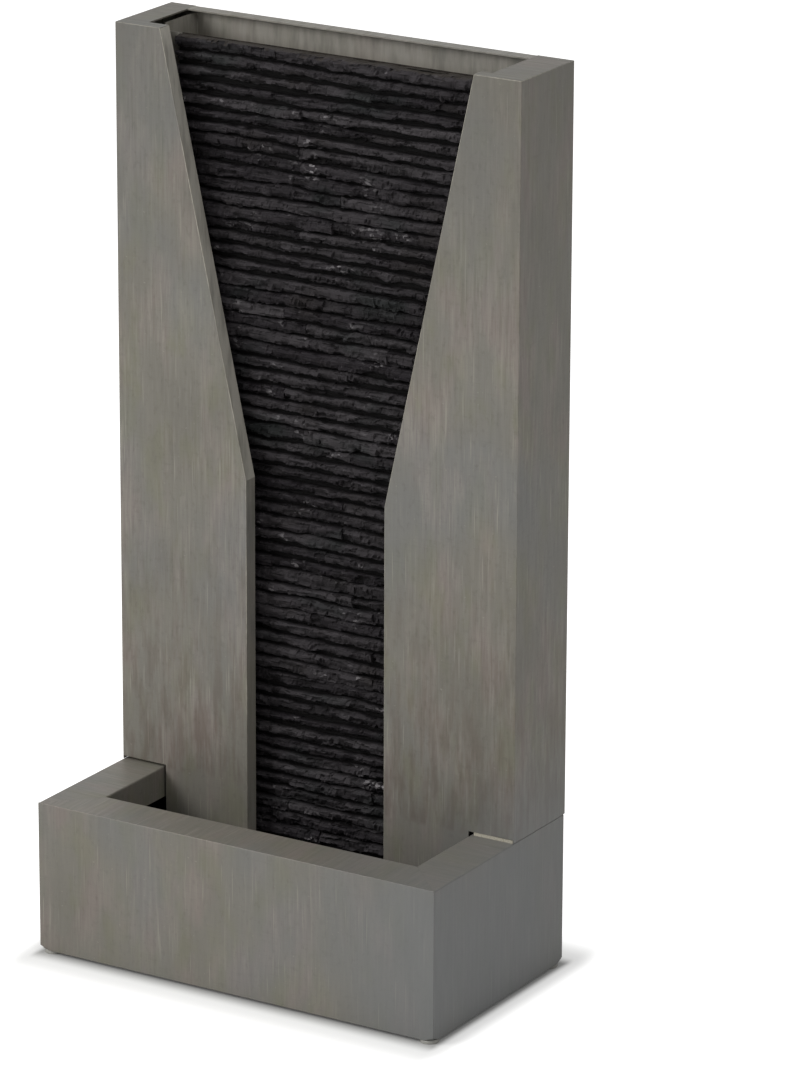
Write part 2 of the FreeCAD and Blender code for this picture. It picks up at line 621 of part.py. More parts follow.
def tower_seat(label, sign, shift):
    body = piece(label)
    near = f"{sign}({HALF_WIDTH} - {SHEET})"
    far = f"{sign}({HALF_WIDTH} - {SHEET} - Sizes.SeatWidth)"
    strip = rectangle(near, far, f"{TOWER_FRONT} + {shift}", PANEL_FACE)
    pad(body, label + "_strip", "XY_Plane", RIM, [strip], "Sizes.SeatThickness")
    return body


# Slate wall: courses of split stone on a solid back, each course broken into stones of its own
# length, set back and chipped a little differently, with a dark joint under it.

def scatter(number):
    """A steady value from -1 to 1 for any number."""
    wave = math.sin(number * 12.9898) * 43758.5453
    return 2 * (wave - math.floor(wave)) - 1


def course_front(number, half, face, depth, stone):
    """Front edge of one course from left to right: stones with a cleft between neighbours."""
    corners = []
    edge = -half + (1 + scatter(number + 0.1)) * 1.5
    end = half - (1 + scatter(number + 0.2)) * 1.5
    index = 0
    while edge < end - stone / 3:
        index = index + 1
        following = edge + stone * (1 + 0.45 * scatter(number * 7.3 + index))
        if following > end - stone / 3:
            following = end
        back = depth * (0.55 + 0.25 * scatter(number * 3.1 + index * 1.7))
        for share in (0.0, 0.5, 1.0):
            chip = 0.15 * depth * scatter(number * 5.9 + index * 2.3 + share * 4.1)
            x = edge + (following - edge) * share
            corners.append(FreeCAD.Vector(x, face + back + chip, 0))
        if following < end:
            corners.append(FreeCAD.Vector(following + 0.4, face + depth, 0))
        edge = following + 0.8
    return corners


def slate_wall():
    width = 2 * size(SLATE_X)
    pitch = sheet.CoursePitch
    gap = sheet.CourseGap
    bottom = sheet.SkirtBottom
    height = size(SLATE_TOP) - bottom
    thickness = sheet.SlateThickness
    web = sheet.SlateWeb
    face = size(SLATE_FRONT)
    back = face + thickness
    slab_front = back - web
    root = slab_front + web / 4
    slab = Part.makeBox(width, web, height, FreeCAD.Vector(-width / 2, slab_front, bottom))
    courses = []
    count = int(height / pitch)
    step = height / count
    for number in range(count):
        low = bottom + number * step + gap
        rise = step - gap
        front = course_front(number + 1, width / 2, face, sheet.CleftDepth, sheet.StoneLength)
        ends = [FreeCAD.Vector(front[-1].x, root, 0), FreeCAD.Vector(front[0].x, root, 0)]
        outline = Part.makePolygon(front + ends + [front[0]])
        outline.translate(FreeCAD.Vector(0, 0, low))
        lean = 0.15 * sheet.CleftDepth * scatter(number + 0.7)
        courses.append(Part.Face(outline).extrude(FreeCAD.Vector(0, lean, rise)))
    wall = doc.addObject("Part::Feature", "slate_wall")
    wall.Label = "slate_wall"
    wall.Shape = slab.multiFuse(courses)
    wall.Placement = FreeCAD.Placement()
    return wall


def slate_board():
    body = piece("slate_board")
    outline = rectangle(f"-{SLATE_X}", SLATE_X, SKIRT_BOTTOM, f"{TROUGH_BASE} - Sizes.BoardDrop")
    pad(body, "board", "XZ_Plane", f"-{SLATE_BACK}", [outline], "Sizes.BoardThickness", against=True)
    spots = [(x, z, "Sizes.RivetRadius") for height in BRACKET_HEIGHTS for x, z in fastener_spots(height)]
    before = f"-{SLATE_BACK} + {OVER}"
    pocket(body, "pilot_holes", "XZ_Plane", before, spots, f"Sizes.BoardThickness + 2 * {OVER}")
    return body


def slate_bracket(label, height):
    """Channel with its web level, screwed to the board in front and riveted to the back panel."""
    body = piece(label)
    section = [
        (BOARD_BACK, height),
        (PANEL_FACE, height),
        (PANEL_FACE, f"{height} - Sizes.BracketFlange"),
        (f"{PANEL_FACE} - {SHEET}", f"{height} - Sizes.BracketFlange"),
        (f"{PANEL_FACE} - {SHEET}", f"{height} - {SHEET}"),
        (f"{BOARD_BACK} + {SHEET}", f"{height} - {SHEET}"),
        (f"{BOARD_BACK} + {SHEET}", f"{height} - Sizes.BracketFlange"),
        (BOARD_BACK, f"{height} - Sizes.BracketFlange"),
    ]
    width = "Sizes.FountainWidth - 2 * Sizes.BracketMargin"
    pad(body, label + "_channel", "YZ_Plane", "0", [section], width, middle=True)
    hose_way = ("0", HOSE_Y, f"{HOSE_OUTER} + Sizes.HoseClearance")
    pocket(body, label + "_hose_way", "XY_Plane", f"{height} + {OVER}", [hose_way], f"{SHEET} + 2 * {OVER}")
    radius = "Sizes.RivetRadius + Sizes.FastenerClearance"
    spots = [(x, z, radius) for x, z in fastener_spots(height)]
    behind = f"-{PANEL_FACE} - {OVER}"
    through = f"{PANEL_FACE} - {BOARD_BACK} + 2 * {OVER}"
    pocket(body, label + "_holes", "XZ_Plane", behind, spots, through, against=False)
    return body


def fastener_group(label, lengths):
    """Turned fasteners at the brackets; lengths are pairs of ends along Y with a radius each."""
    solids = []
    for height in BRACKET_HEIGHTS:
        for x, z in fastener_spots(height):
            for near, far, radius in lengths:
                rod = doc.addObject("Part::Cylinder", label + "_rod")
                rod.Placement = FreeCAD.Placement(FreeCAD.Vector(), FreeCAD.Rotation(ALONG_X, -90))
                rod.setExpression("Placement.Base.x", x)
                rod.setExpression("Placement.Base.y", near)
                rod.setExpression("Placement.Base.z", z)
                rod.setExpression("Radius", radius)
                rod.setExpression("Height", f"{far} - ({near})")
                solids.append(rod)
    group = doc.addObject("Part::MultiFuse", label)
    group.Label = label
    group.Shapes = solids
    return group


def bracket_rivets():
    head = "Sizes.RivetHeadRadius"
    tail = f"{PANEL_FACE} - {SHEET}"
    return fastener_group("bracket_rivets", [
        (tail, PANEL_BACK, "Sizes.RivetRadius"),
        (PANEL_BACK, f"{PANEL_BACK} + Sizes.RivetHead", head),
        (f"{tail} - Sizes.RivetHead", tail, head),
    ])


def slate_screws():
    flange = f"{BOARD_BACK} + {SHEET}"
    return fastener_group("slate_screws", [
        (SLATE_BACK, flange, "Sizes.RivetRadius"),
        (flange, f"{flange} + 2 * Sizes.RivetHead", "Sizes.RivetHeadRadius"),
    ])


# Water way: the trough behind the slate's top, its inlet, and the hose up from the pump.

def spill_trough():
    body = piece("spill_trough")
    half = f"({HALF_WIDTH} - Sizes.TroughMargin)"
    front = SLATE_BACK
    rim = f"({TROUGH_BASE} + Sizes.TroughWall)"
    outline = rectangle(f"-{half}", half, front, PANEL_FACE)
    pad(body, "trough", "XY_Plane", TROUGH_BASE, [outline], "Sizes.TroughWall")
    inner = f"({half} - {SHEET})"
    hollow = rectangle(f"-{inner}", inner, f"{front} + {SHEET}", f"{PANEL_FACE} - {SHEET}")
    pocket(body, "trough_hollow", "XY_Plane", rim, [hollow], f"Sizes.TroughWall - {SHEET}")
    lip = rectangle(f"-{inner}", inner, f"{front} - {OVER}", f"{front} + {SHEET}")
    pocket(body, "spill_lip", "XY_Plane", rim, [lip], "Sizes.TroughWall - Sizes.TroughLip")
    way = ("0", HOSE_Y, "Sizes.InletThread + Sizes.FastenerClearance")
    under = f"{TROUGH_BASE} - {OVER}"
    pocket(body, "inlet_hole", "XY_Plane", under, [way], f"{SHEET} + 2 * {OVER}", against=False)
    return body


def trough_inlet():
    """Flanged tail through the trough's floor, and the plain spigot that the hose is clamped on."""
    under_flange = f"{TROUGH_BASE} + {SHEET} + Sizes.SealThickness"
    thread_end = f"{TROUGH_BASE} - {SHEET} - Sizes.NutThickness"
    corners = [
        ("Sizes.InletBore", f"{under_flange} + Sizes.InletFlangeThickness"),
        ("Sizes.InletFlange", f"{under_flange} + Sizes.InletFlangeThickness"),
        ("Sizes.InletFlange", under_flange),
        ("Sizes.InletThread", under_flange),
        ("Sizes.InletThread", thread_end),
        ("Sizes.HoseBore", thread_end),
        ("Sizes.HoseBore", f"{HOSE_TOP} - Sizes.InletSpigot"),
        ("Sizes.InletBore", f"{HOSE_TOP} - Sizes.InletSpigot"),
    ]
    return revolved_at("trough_inlet", corners, "0", HOSE_Y, "0")


def ring(label, bore, radius, low, high):
    """A plain ring about the hose's axis."""
    corners = [(bore, low), (radius, low), (radius, high), (bore, high)]
    return revolved_at(label, corners, "0", HOSE_Y, "0")


def trough_seal():
    low = f"{TROUGH_BASE} + {SHEET}"
    return ring("trough_seal", "Sizes.InletThread", "Sizes.InletFlange", low, f"{low} + Sizes.SealThickness")


def trough_nut():
    body = piece("trough_nut")
    half = "Sizes.NutAcross / 2"
    side = "Sizes.NutAcross / 2 * tan(30)"
    corner = "Sizes.NutAcross / 2 / cos(30)"
    hexagon = [
        (corner, "0"), (side, half), (f"-({side})", half),
        (f"-({corner})", "0"), (f"-({side})", f"-({half})"), (side, f"-({half})"),
    ]
    bore = ("0", "0", "Sizes.InletThread")
    pad(body, "nut", "XY_Plane", "0", [hexagon, bore], "Sizes.NutThickness", against=True)
    return place(body, "0", HOSE_Y, f"{TROUGH_BASE} - {SHEET}")


def riser_hose():
    bottom = f"{PUMP_AXIS} + {PUMP_HALF} + Sizes.NozzleCollar + Sizes.HoseLift"
    return ring("riser_hose", "Sizes.HoseBore", HOSE_OUTER, bottom, HOSE_TOP)


def hose_clamp():
    """Narrow band that squeezes the hose on its spigot, with the two lugs of its screw."""
    body = piece("hose_clamp")
    outer = f"({HOSE_OUTER} + Sizes.ClampWall)"
    half = "(Sizes.ClampLug / 2)"
    past = f"Sizes.ClampWidth + 2 * {OVER}"
    lugs = rectangle(f"-{half}", half, f"-{outer} - Sizes.ClampLug", f"-{HOSE_OUTER}")
    pad(body, "clamp_lugs", "XY_Plane", "0", [lugs], "Sizes.ClampWidth")
    pad(body, "clamp_band", "XY_Plane", "0", [("0", "0", outer)], "Sizes.ClampWidth")
    pocket(body, "clamp_bore", "XY_Plane", f"-{OVER}", [("0", "0", HOSE_OUTER)], past, against=False)
    slit = "(Sizes.ClampWall / 2)"
    split = rectangle(f"-{slit}", slit, f"-{outer} - Sizes.ClampLug - {OVER}", "0")
    pocket(body, "clamp_split", "XY_Plane", f"-{OVER}", [split], past, against=False)
    return place(body, "0", HOSE_Y, f"{HOSE_TOP} - (Sizes.InletSpigot + Sizes.ClampWidth) / 2")


def hose_clip():
    """Open ring that holds the hose off the back panel on a short arm."""
    body = piece("hose_clip")
    outer = f"({HOSE_OUTER} + Sizes.ClipWall)"
    panel = f"({PANEL_FACE} - {HOSE_Y})"
    past = f"Sizes.ClipWidth + 2 * {OVER}"
    arm = rectangle("-Sizes.ClipArm / 2", "Sizes.ClipArm / 2", HOSE_OUTER, panel)
    pad(body, "clip_arm", "XY_Plane", "0", [arm], "Sizes.ClipWidth")
    pad(body, "clip_ring", "XY_Plane", "0", [("0", "0", outer)], "Sizes.ClipWidth")
    sole = rectangle("-Sizes.ClipFoot / 2", "Sizes.ClipFoot / 2", f"{panel} - Sizes.ClipWall", panel)
    pad(body, "clip_foot", "XY_Plane", "0", [sole], "Sizes.ClipWidth")
    pocket(body, "clip_bore", "XY_Plane", f"-{OVER}", [("0", "0", HOSE_OUTER)], past, against=False)
    mouth = rectangle("-Sizes.ClipMouth / 2", "Sizes.ClipMouth / 2", f"-{outer} - {OVER}", "0")
    pocket(body, "clip_mouth", "XY_Plane", f"-{OVER}", [mouth], past, against=False)
    return place(body, "0", HOSE_Y, f"(Sizes.LowerBracketZ + {TROUGH_BASE} - Sizes.ClipWidth) / 2")


# Pump: its shaft lies along X. Each piece is drawn about the shaft and placed with it.

def at_pump(body):
    return place(body, "0", HOSE_Y, PUMP_AXIS)


def pump_square(half):
    return rectangle(f"-{half}", half, f"-{half}", half)


def runs_lengthwise(edge):
    return runs_along(edge, ALONG_X)


def cup_spots():
    """Centres of the suction cups under the motor block, along X and Y."""
    middle = f"({VOLUTE_HALF} + Sizes.MotorLength / 2)"
    reach = "(Sizes.CupSpacing / 2)"
    return [(f"{middle} {lengthwise} {reach}", f"{across}{reach}")
            for lengthwise in ("-", "+") for across in ("-", "+")]


def pump_motor():
    body = piece("pump_motor")
    pad(body, "block", "YZ_Plane", VOLUTE_HALF, [pump_square(PUMP_HALF)], "Sizes.MotorLength")
    rounded(body, "block_corners", "Sizes.PumpCorner", runs_lengthwise)
    well = ("0", "0", "Sizes.WellRadius")
    pocket(body, "rotor_well", "YZ_Plane", VOLUTE_HALF, [well], "Sizes.WellDepth", against=False)
    seat = ("0", "0", "Sizes.BushRadius")
    seat_depth = "Sizes.WellDepth + Sizes.BushSeat"
    pocket(body, "rear_bush_seat", "YZ_Plane", VOLUTE_HALF, [seat], seat_depth, against=False)
    socket = ("0", f"{PUMP_HALF} / 2", "Sizes.GlandNeck")
    pocket(body, "gland_socket", "YZ_Plane", MOTOR_END, [socket], "Sizes.GlandSocket")
    studs = [(x, y, "Sizes.CupStud") for x, y in cup_spots()]
    pocket(body, "cup_sockets", "XY_Plane", f"-{PUMP_HALF}", studs, "Sizes.CupStud", against=False)
    start = f"({VOLUTE_HALF} + Sizes.GroovePitch / 2)"
    low = f"{PUMP_HALF} - Sizes.GrooveDepth"
    groove = rectangle(start, f"{start} + Sizes.GrooveWidth", low, f"{PUMP_HALF} + {OVER}")
    cut = pocket(body, "groove", "XZ_Plane", "0", [groove], f"Sizes.PumpSize + 2 * {OVER}", middle=True)
    along(body, "grooves", cut, "X_Axis", "Sizes.GroovePitch * (Sizes.GrooveCount - 1)", "Sizes.GrooveCount")
    return at_pump(body)


def pump_volute():
    body = piece("pump_volute")
    pad(body, "housing", "YZ_Plane", "0", [pump_square(PUMP_HALF)], "Sizes.VoluteLength", middle=True)
    rounded(body, "housing_corners", "Sizes.PumpCorner", runs_lengthwise)
    chamber = ("0", "0", "Sizes.ChamberRadius")
    depth = "Sizes.VoluteLength - Sizes.VoluteFace"
    pocket(body, "chamber", "YZ_Plane", VOLUTE_HALF, [chamber], depth)
    duct = ("0", "0", "Sizes.DuctRadius")
    pocket(body, "duct", "XY_Plane", PUMP_HALF, [duct], f"{PUMP_HALF} - Sizes.ChamberRadius / 2")
    socket = ("0", "0", "Sizes.NozzleRadius")
    pocket(body, "nozzle_socket", "XY_Plane", PUMP_HALF, [socket], "Sizes.NozzleSocket")
    seat = ("0", "0", "Sizes.BushRadius")
    pocket(body, "front_bush_seat", "YZ_Plane", VOLUTE_HALF, [seat], f"{depth} + Sizes.BushSeat")
    hole = ("Sizes.InletHoleCircle", "0", "Sizes.InletHoleRadius")
    outside = f"-{VOLUTE_HALF} - {OVER}"
    through = f"Sizes.VoluteFace + 2 * {OVER}"
    cut = pocket(body, "inlet_hole", "YZ_Plane", outside, [hole], through, against=False)
    around(body, "inlet_holes", cut, "Sizes.InletHoleCount")
    return at_pump(body)


def pump_nozzle():
    bore = "Sizes.DuctRadius"
    radius = "Sizes.NozzleRadius"
    corners = [
        (bore, f"{PUMP_HALF} - Sizes.NozzleSocket"),
        (radius, f"{PUMP_HALF} - Sizes.NozzleSocket"),
        (radius, PUMP_HALF),
        ("Sizes.NozzleCollarRadius", PUMP_HALF),
        ("Sizes.NozzleCollarRadius", f"{PUMP_HALF} + Sizes.NozzleCollar"),
        (radius, f"{PUMP_HALF} + Sizes.NozzleCollar"),
        (radius, f"{PUMP_HALF} + Sizes.NozzleHeight"),
        (bore, f"{PUMP_HALF} + Sizes.NozzleHeight"),
    ]
    return revolved_at("pump_nozzle", corners, "0", HOSE_Y, PUMP_AXIS)


# Along the shaft, X grows from the strainer to the motor; a turned piece lies on its side.
SIDEWAYS = ((0, 1, 0), 90)
CHAMBER_FRONT = f"(Sizes.VoluteFace - {VOLUTE_HALF})"
FRONT_BUSH_END = f"({CHAMBER_FRONT} - Sizes.BushSeat + Sizes.BushLength)"
WELL_END = f"({VOLUTE_HALF} + Sizes.WellDepth)"
REAR_BUSH_END = f"({WELL_END} - Sizes.BushLength + Sizes.BushSeat)"
BLADE_FRONT = f"({FRONT_BUSH_END} + Sizes.RotorPlay)"
DISC_FRONT = f"({BLADE_FRONT} + Sizes.BladeHeight)"
MAGNET_END = f"({REAR_BUSH_END} - Sizes.RotorPlay)"
MAGNET_FRONT = f"({MAGNET_END} - Sizes.RotorLength)"
ROTOR_BORE = "(Sizes.ShaftRadius + Sizes.RotorClearance)"


def lying(label, corners):
    """A turned piece about the pump's shaft, from radii and distances along it."""
    return revolved_at(label, corners, "0", HOSE_Y, PUMP_AXIS, *SIDEWAYS)


def tube(label, bore, radius, low, high):
    return lying(label, [(bore, low), (radius, low), (radius, high), (bore, high)])


def pump_shaft():
    low = f"{CHAMBER_FRONT} - Sizes.BushSeat"
    high = f"{WELL_END} + Sizes.BushSeat"
    radius = "Sizes.ShaftRadius"
    return lying("pump_shaft", [("0", low), (radius, low), (radius, high), ("0", high)])


def pump_bushes():
    front = tube(
        "pump_bush_front", "Sizes.ShaftRadius", "Sizes.BushRadius",
        f"{CHAMBER_FRONT} - Sizes.BushSeat", FRONT_BUSH_END,
    )
    rear = tube(
        "pump_bush_rear", "Sizes.ShaftRadius", "Sizes.BushRadius",
        REAR_BUSH_END, f"{WELL_END} + Sizes.BushSeat",
    )
    return [front, rear]


def rotor_magnet():
    return tube("rotor_magnet", ROTOR_BORE, "Sizes.RotorRadius", MAGNET_FRONT, MAGNET_END)


def impeller():
    """Back disc with a hub and a neck to the magnet, and straight blades on the disc."""
    body = piece("impeller")
    hub = "Sizes.ImpellerHub"
    corners = [
        (ROTOR_BORE, BLADE_FRONT),
        (hub, BLADE_FRONT),
        (hub, DISC_FRONT),
        ("Sizes.ImpellerRadius", DISC_FRONT),
        ("Sizes.ImpellerRadius", f"{DISC_FRONT} + Sizes.ImpellerDisc"),
        ("Sizes.ImpellerNeck", f"{DISC_FRONT} + Sizes.ImpellerDisc"),
        ("Sizes.ImpellerNeck", MAGNET_FRONT),
        (ROTOR_BORE, MAGNET_FRONT),
    ]
    turn(body, "impeller_hub", corners)
    half = "Sizes.BladeThickness / 2"
    root = f"{hub} - {half}"
    blade = rectangle(root, "Sizes.ImpellerRadius", f"-{half}", half)
    first = pad(body, "blade", "XY_Plane", BLADE_FRONT, [blade], "Sizes.BladeHeight")
    pattern = body.newObject("PartDesign::PolarPattern", "blades")
    pattern.Originals = [first]
    pattern.Axis = (plane_of(body, "Z_Axis"), [""])
    pattern.Angle = 360
    pattern.setExpression("Occurrences", "Sizes.BladeCount")
    body.Tip = pattern
    return place(body, "0", HOSE_Y, PUMP_AXIS, *SIDEWAYS)


def pump_gland():
    low = f"{MOTOR_END} - Sizes.GlandSocket"
    high = f"{MOTOR_END} + Sizes.GlandLength"
    corners = [
        ("Sizes.GlandBore", low),
        ("Sizes.GlandNeck", low),
        ("Sizes.GlandNeck", MOTOR_END),
        ("Sizes.GlandRadius", MOTOR_END),
        ("Sizes.GlandRadius", high),
        ("Sizes.GlandBore", high),
    ]
    return revolved_at("pump_gland", corners, "0", HOSE_Y, f"{PUMP_AXIS} + {PUMP_HALF} / 2", *SIDEWAYS)


def suction_cups():
    """Four soft cups, each a skirt round a hollow, a neck and a stud in the motor block."""
    cups = []
    names = ("front_left", "rear_left", "front_right", "rear_right")
    for name, (x, y) in zip(names, cup_spots()):
        corners = [
            ("0", "Sizes.CupHollow"),
            ("Sizes.CupRadius - Sizes.CupEdge", "Sizes.CupHollow"),
            ("Sizes.CupRadius - Sizes.CupEdge", "0"),
            ("Sizes.CupRadius", "0"),
            ("Sizes.CupNeck", "Sizes.CupHeight"),
            ("Sizes.CupStud", "Sizes.CupHeight"),
            ("Sizes.CupStud", "Sizes.CupHeight + Sizes.CupStud"),
            ("0", "Sizes.CupHeight + Sizes.CupStud"),
        ]
        cups.append(revolved_at(f"suction_cup_{name}", corners, x, f"{HOSE_Y} + ({y})", LINER_FLOOR))
    return cups


def pump_strainer():
    """Slotted cover over the inlet, pushed over the pump body's front."""
    body = piece("pump_strainer")
    inner = f"({PUMP_HALF} + Sizes.StrainerFit)"
    outer = f"({inner} + Sizes.StrainerWall)"
    front = f"-{STRAINER_END}"
    length = "Sizes.StrainerLength + Sizes.StrainerSleeve"
    pad(body, "cover", "YZ_Plane", front, [pump_square(outer)], length)
    rounded(body, "cover_corners", "Sizes.PumpCorner", runs_lengthwise)
    mouth = f"-{VOLUTE_HALF} + Sizes.StrainerSleeve"
    pocket(body, "cover_hollow", "YZ_Plane", mouth, [pump_square(inner)], f"{length} - Sizes.StrainerWall")
    notch = "(Sizes.NozzleCollarRadius + Sizes.StrainerFit)"
    way = rectangle(f"-{notch}", f"{mouth} + {OVER}", f"-{notch}", notch)
    deep = f"Sizes.StrainerWall + Sizes.StrainerFit + {OVER}"
    pocket(body, "nozzle_notch", "XY_Plane", f"{outer} + {OVER}", [way], deep)
    through = f"Sizes.StrainerWall + 2 * {OVER}"
    bore = ("0", "0", "Sizes.StemRadius + Sizes.StemClearance")
    pocket(body, "stem_bore", "YZ_Plane", f"{front} - {OVER}", [bore], through, against=False)
    reach = "Sizes.StrainerSlotPitch * (Sizes.StrainerSlotCount - 1)"
    low = f"-({reach}) / 2 - Sizes.StrainerSlot / 2"
    start = f"{front} + Sizes.StrainerSlotPitch"
    end = f"-{VOLUTE_HALF} - Sizes.StrainerWall"
    slot = rectangle(start, end, low, f"{low} + Sizes.StrainerSlot")
    cut = pocket(body, "side_slot", "XZ_Plane", "0", [slot], f"2 * ({outer} + {OVER})", middle=True)
    along(body, "side_slots", cut, "Z_Axis", reach, "Sizes.StrainerSlotCount")
    half_slot = f"({reach}) / 2"
    clear = "(Sizes.DialRadius + Sizes.StrainerSlot)"
    front_slots = []
    for sign in ("-", "+"):
        for step in ("0", "Sizes.StrainerSlotPitch"):
            near = f"{sign}({clear} + {step})"
            far = f"{sign}({clear} + {step} + Sizes.StrainerSlot)"
            front_slots.append(rectangle(near, far, f"-{half_slot}", half_slot))
    before = f"{front} - {OVER}"
    body.Tip = pocket(body, "front_slots", "YZ_Plane", before, front_slots, through, against=False)
    return at_pump(body)


def pump_sponge():
    body = piece("pump_sponge")
    half = f"({PUMP_HALF} + Sizes.StrainerFit - Sizes.SpongeGap)"
    start = f"-{STRAINER_END} + Sizes.StrainerWall + Sizes.SpongeGap"
    bore = ("0", "0", "Sizes.SpongeBore")
    pad(body, "sponge", "YZ_Plane", start, [pump_square(half), bore], "Sizes.SpongeLength")
    return at_pump(body)


def flow_dial():
    """Round dial with a grip bar and the stem that carries the shutter."""
    body = piece("flow_dial")
    front = f"-{STRAINER_END} - Sizes.ShutterGap"
    stem_end = f"-{VOLUTE_HALF} - Sizes.ShutterGap - Sizes.ShutterThickness"
    corners = [
        ("0", f"{front} - Sizes.DialThickness"),
        ("Sizes.DialRadius", f"{front} - Sizes.DialThickness"),
        ("Sizes.DialRadius", front),
        ("Sizes.StemRadius", front),
        ("Sizes.StemRadius", stem_end),
        ("0", stem_end),
    ]
    turn(body, "dial", corners)
    reach = "(Sizes.DialRadius - Sizes.DialGrip)"
    half = "(Sizes.DialGrip / 2)"
    grip = rectangle(f"-{reach}", reach, f"-{half}", half)
    level = f"{front} - Sizes.DialThickness"
    pad(body, "grip", "XY_Plane", level, [grip], "Sizes.DialGrip", against=True)
    return place(body, "0", HOSE_Y, PUMP_AXIS, *SIDEWAYS)


def flow_shutter():
    """Disc with the same holes as the pump chamber's inlet, in line with them when open."""
    body = piece("flow_shutter")
    back = f"-{VOLUTE_HALF} - Sizes.ShutterGap"
    disc = ("0", "0", "Sizes.ShutterRadius")
    pad(body, "disc", "YZ_Plane", back, [disc], "Sizes.ShutterThickness", against=True)
    hole = ("Sizes.InletHoleCircle", "0", "Sizes.InletHoleRadius")
    past = f"Sizes.ShutterThickness + 2 * {OVER}"
    cut = pocket(body, "shutter_hole", "YZ_Plane", f"{back} + {OVER}", [hole], past)
    around(body, "shutter_holes", cut, "Sizes.InletHoleCount")
    return at_pump(body)


FRONT_FOOT_Y = f"-({HALF_DEPTH} - Sizes.FootInset)"
REAR_FOOT_Y = f"{BASIN_BACK} - Sizes.FootInset"

pieces = [
    basin_wall_front(),
    basin_wall_side("basin_wall_left", "-"),
    basin_wall_side("basin_wall_right", "+"),
    basin_wall_rear(),
    basin_floor(),
    basin_liner(),
    foot("foot_front_left", "-", FRONT_FOOT_Y),
    foot("foot_front_right", "+", FRONT_FOOT_Y),
    foot("foot_rear_left", "-", REAR_FOOT_Y),
    foot("foot_rear_right", "+", REAR_FOOT_Y),
    cable_grommet(),
    tower_side("tower_side_left", "-", "Sizes.TopFlangeLeft"),
    tower_side("tower_side_right", "+", "Sizes.TopFlangeRight"),
    tower_back_panel(),
    tower_seat("tower_seat_left", "-", "Sizes.SeatRecessLeft"),
    tower_seat("tower_seat_right", "+", "-Sizes.SeatProudRight"),
    slate_wall(),
    slate_board(),
    slate_bracket("slate_bracket_upper", TROUGH_BASE),
    slate_bracket("slate_bracket_lower", "Sizes.LowerBracketZ"),
    bracket_rivets(),
    slate_screws(),
    spill_trough(),
    trough_inlet(),
    trough_seal(),
    trough_nut(),
    riser_hose(),
    hose_clamp(),
    hose_clip(),
    pump_motor(),
    pump_volute(),
    pump_nozzle(),
    pump_shaft(),
    *pump_bushes(),
    rotor_magnet(),
    impeller(),
    pump_gland(),
    *suction_cups(),
    pump_strainer(),
    pump_sponge(),
    flow_dial(),
    flow_shutter(),
]

doc.recompute()

failed = [item.Label for item in doc.Objects if {"Invalid", "Error"} & set(item.State)]
if failed:
    raise SystemExit(f"these objects didn't build: {failed}")

os.makedirs("parts", exist_ok=True)
for item in pieces:
    if item.Shape.isNull() or not item.Shape.isValid() or not item.Shape.Solids:
        raise SystemExit(f"{item.Label} has no valid solid")
for item in pieces:
    item.Shape.exportStep(f"parts/{item.Label}.step")
print(f"{len(pieces)} pieces")
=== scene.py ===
import bmesh
import bpy
import math
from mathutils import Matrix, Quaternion, Vector


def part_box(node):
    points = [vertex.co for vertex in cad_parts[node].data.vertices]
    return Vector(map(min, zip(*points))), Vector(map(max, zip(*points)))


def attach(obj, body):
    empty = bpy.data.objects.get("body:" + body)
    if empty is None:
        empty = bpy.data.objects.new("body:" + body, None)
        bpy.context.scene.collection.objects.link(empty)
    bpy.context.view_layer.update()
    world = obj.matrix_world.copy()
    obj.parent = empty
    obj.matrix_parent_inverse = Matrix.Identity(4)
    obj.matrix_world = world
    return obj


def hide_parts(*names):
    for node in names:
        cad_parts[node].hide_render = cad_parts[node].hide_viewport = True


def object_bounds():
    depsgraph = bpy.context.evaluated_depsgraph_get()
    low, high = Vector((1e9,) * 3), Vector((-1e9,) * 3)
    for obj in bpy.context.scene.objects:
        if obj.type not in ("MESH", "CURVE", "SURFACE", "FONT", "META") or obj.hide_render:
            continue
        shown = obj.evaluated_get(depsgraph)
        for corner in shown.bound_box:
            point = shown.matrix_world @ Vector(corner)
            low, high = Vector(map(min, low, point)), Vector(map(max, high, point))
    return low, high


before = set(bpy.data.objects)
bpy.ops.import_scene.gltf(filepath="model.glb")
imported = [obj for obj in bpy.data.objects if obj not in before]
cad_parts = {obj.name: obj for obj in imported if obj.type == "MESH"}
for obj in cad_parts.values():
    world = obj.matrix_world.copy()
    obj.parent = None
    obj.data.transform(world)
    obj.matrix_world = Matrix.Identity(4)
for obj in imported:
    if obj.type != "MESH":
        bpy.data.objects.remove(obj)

from types import SimpleNamespace

CAD_BOX = [list(corner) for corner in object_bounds()]
MM = 0.001


# Camera: a long lens a good way off, a little to the right of the fountain and above it, turned
# down towards its middle, as the photograph was taken. Its frame is 807 by 1080 pixels.

CAMERA_AZIMUTH = math.radians(31.402)
CAMERA_ELEVATION = math.radians(18.025)
CAMERA_ROLL = math.radians(0.228)
CAMERA_DISTANCE = 5.92167
CAMERA_TARGET = Vector((0.1180, 0.0, 0.46018))
FOCAL_PIXELS = 6120.96
FRAME_PIXELS = 1080
SENSOR = 36.0
NEAREST = 0.1
FARTHEST = 60.0

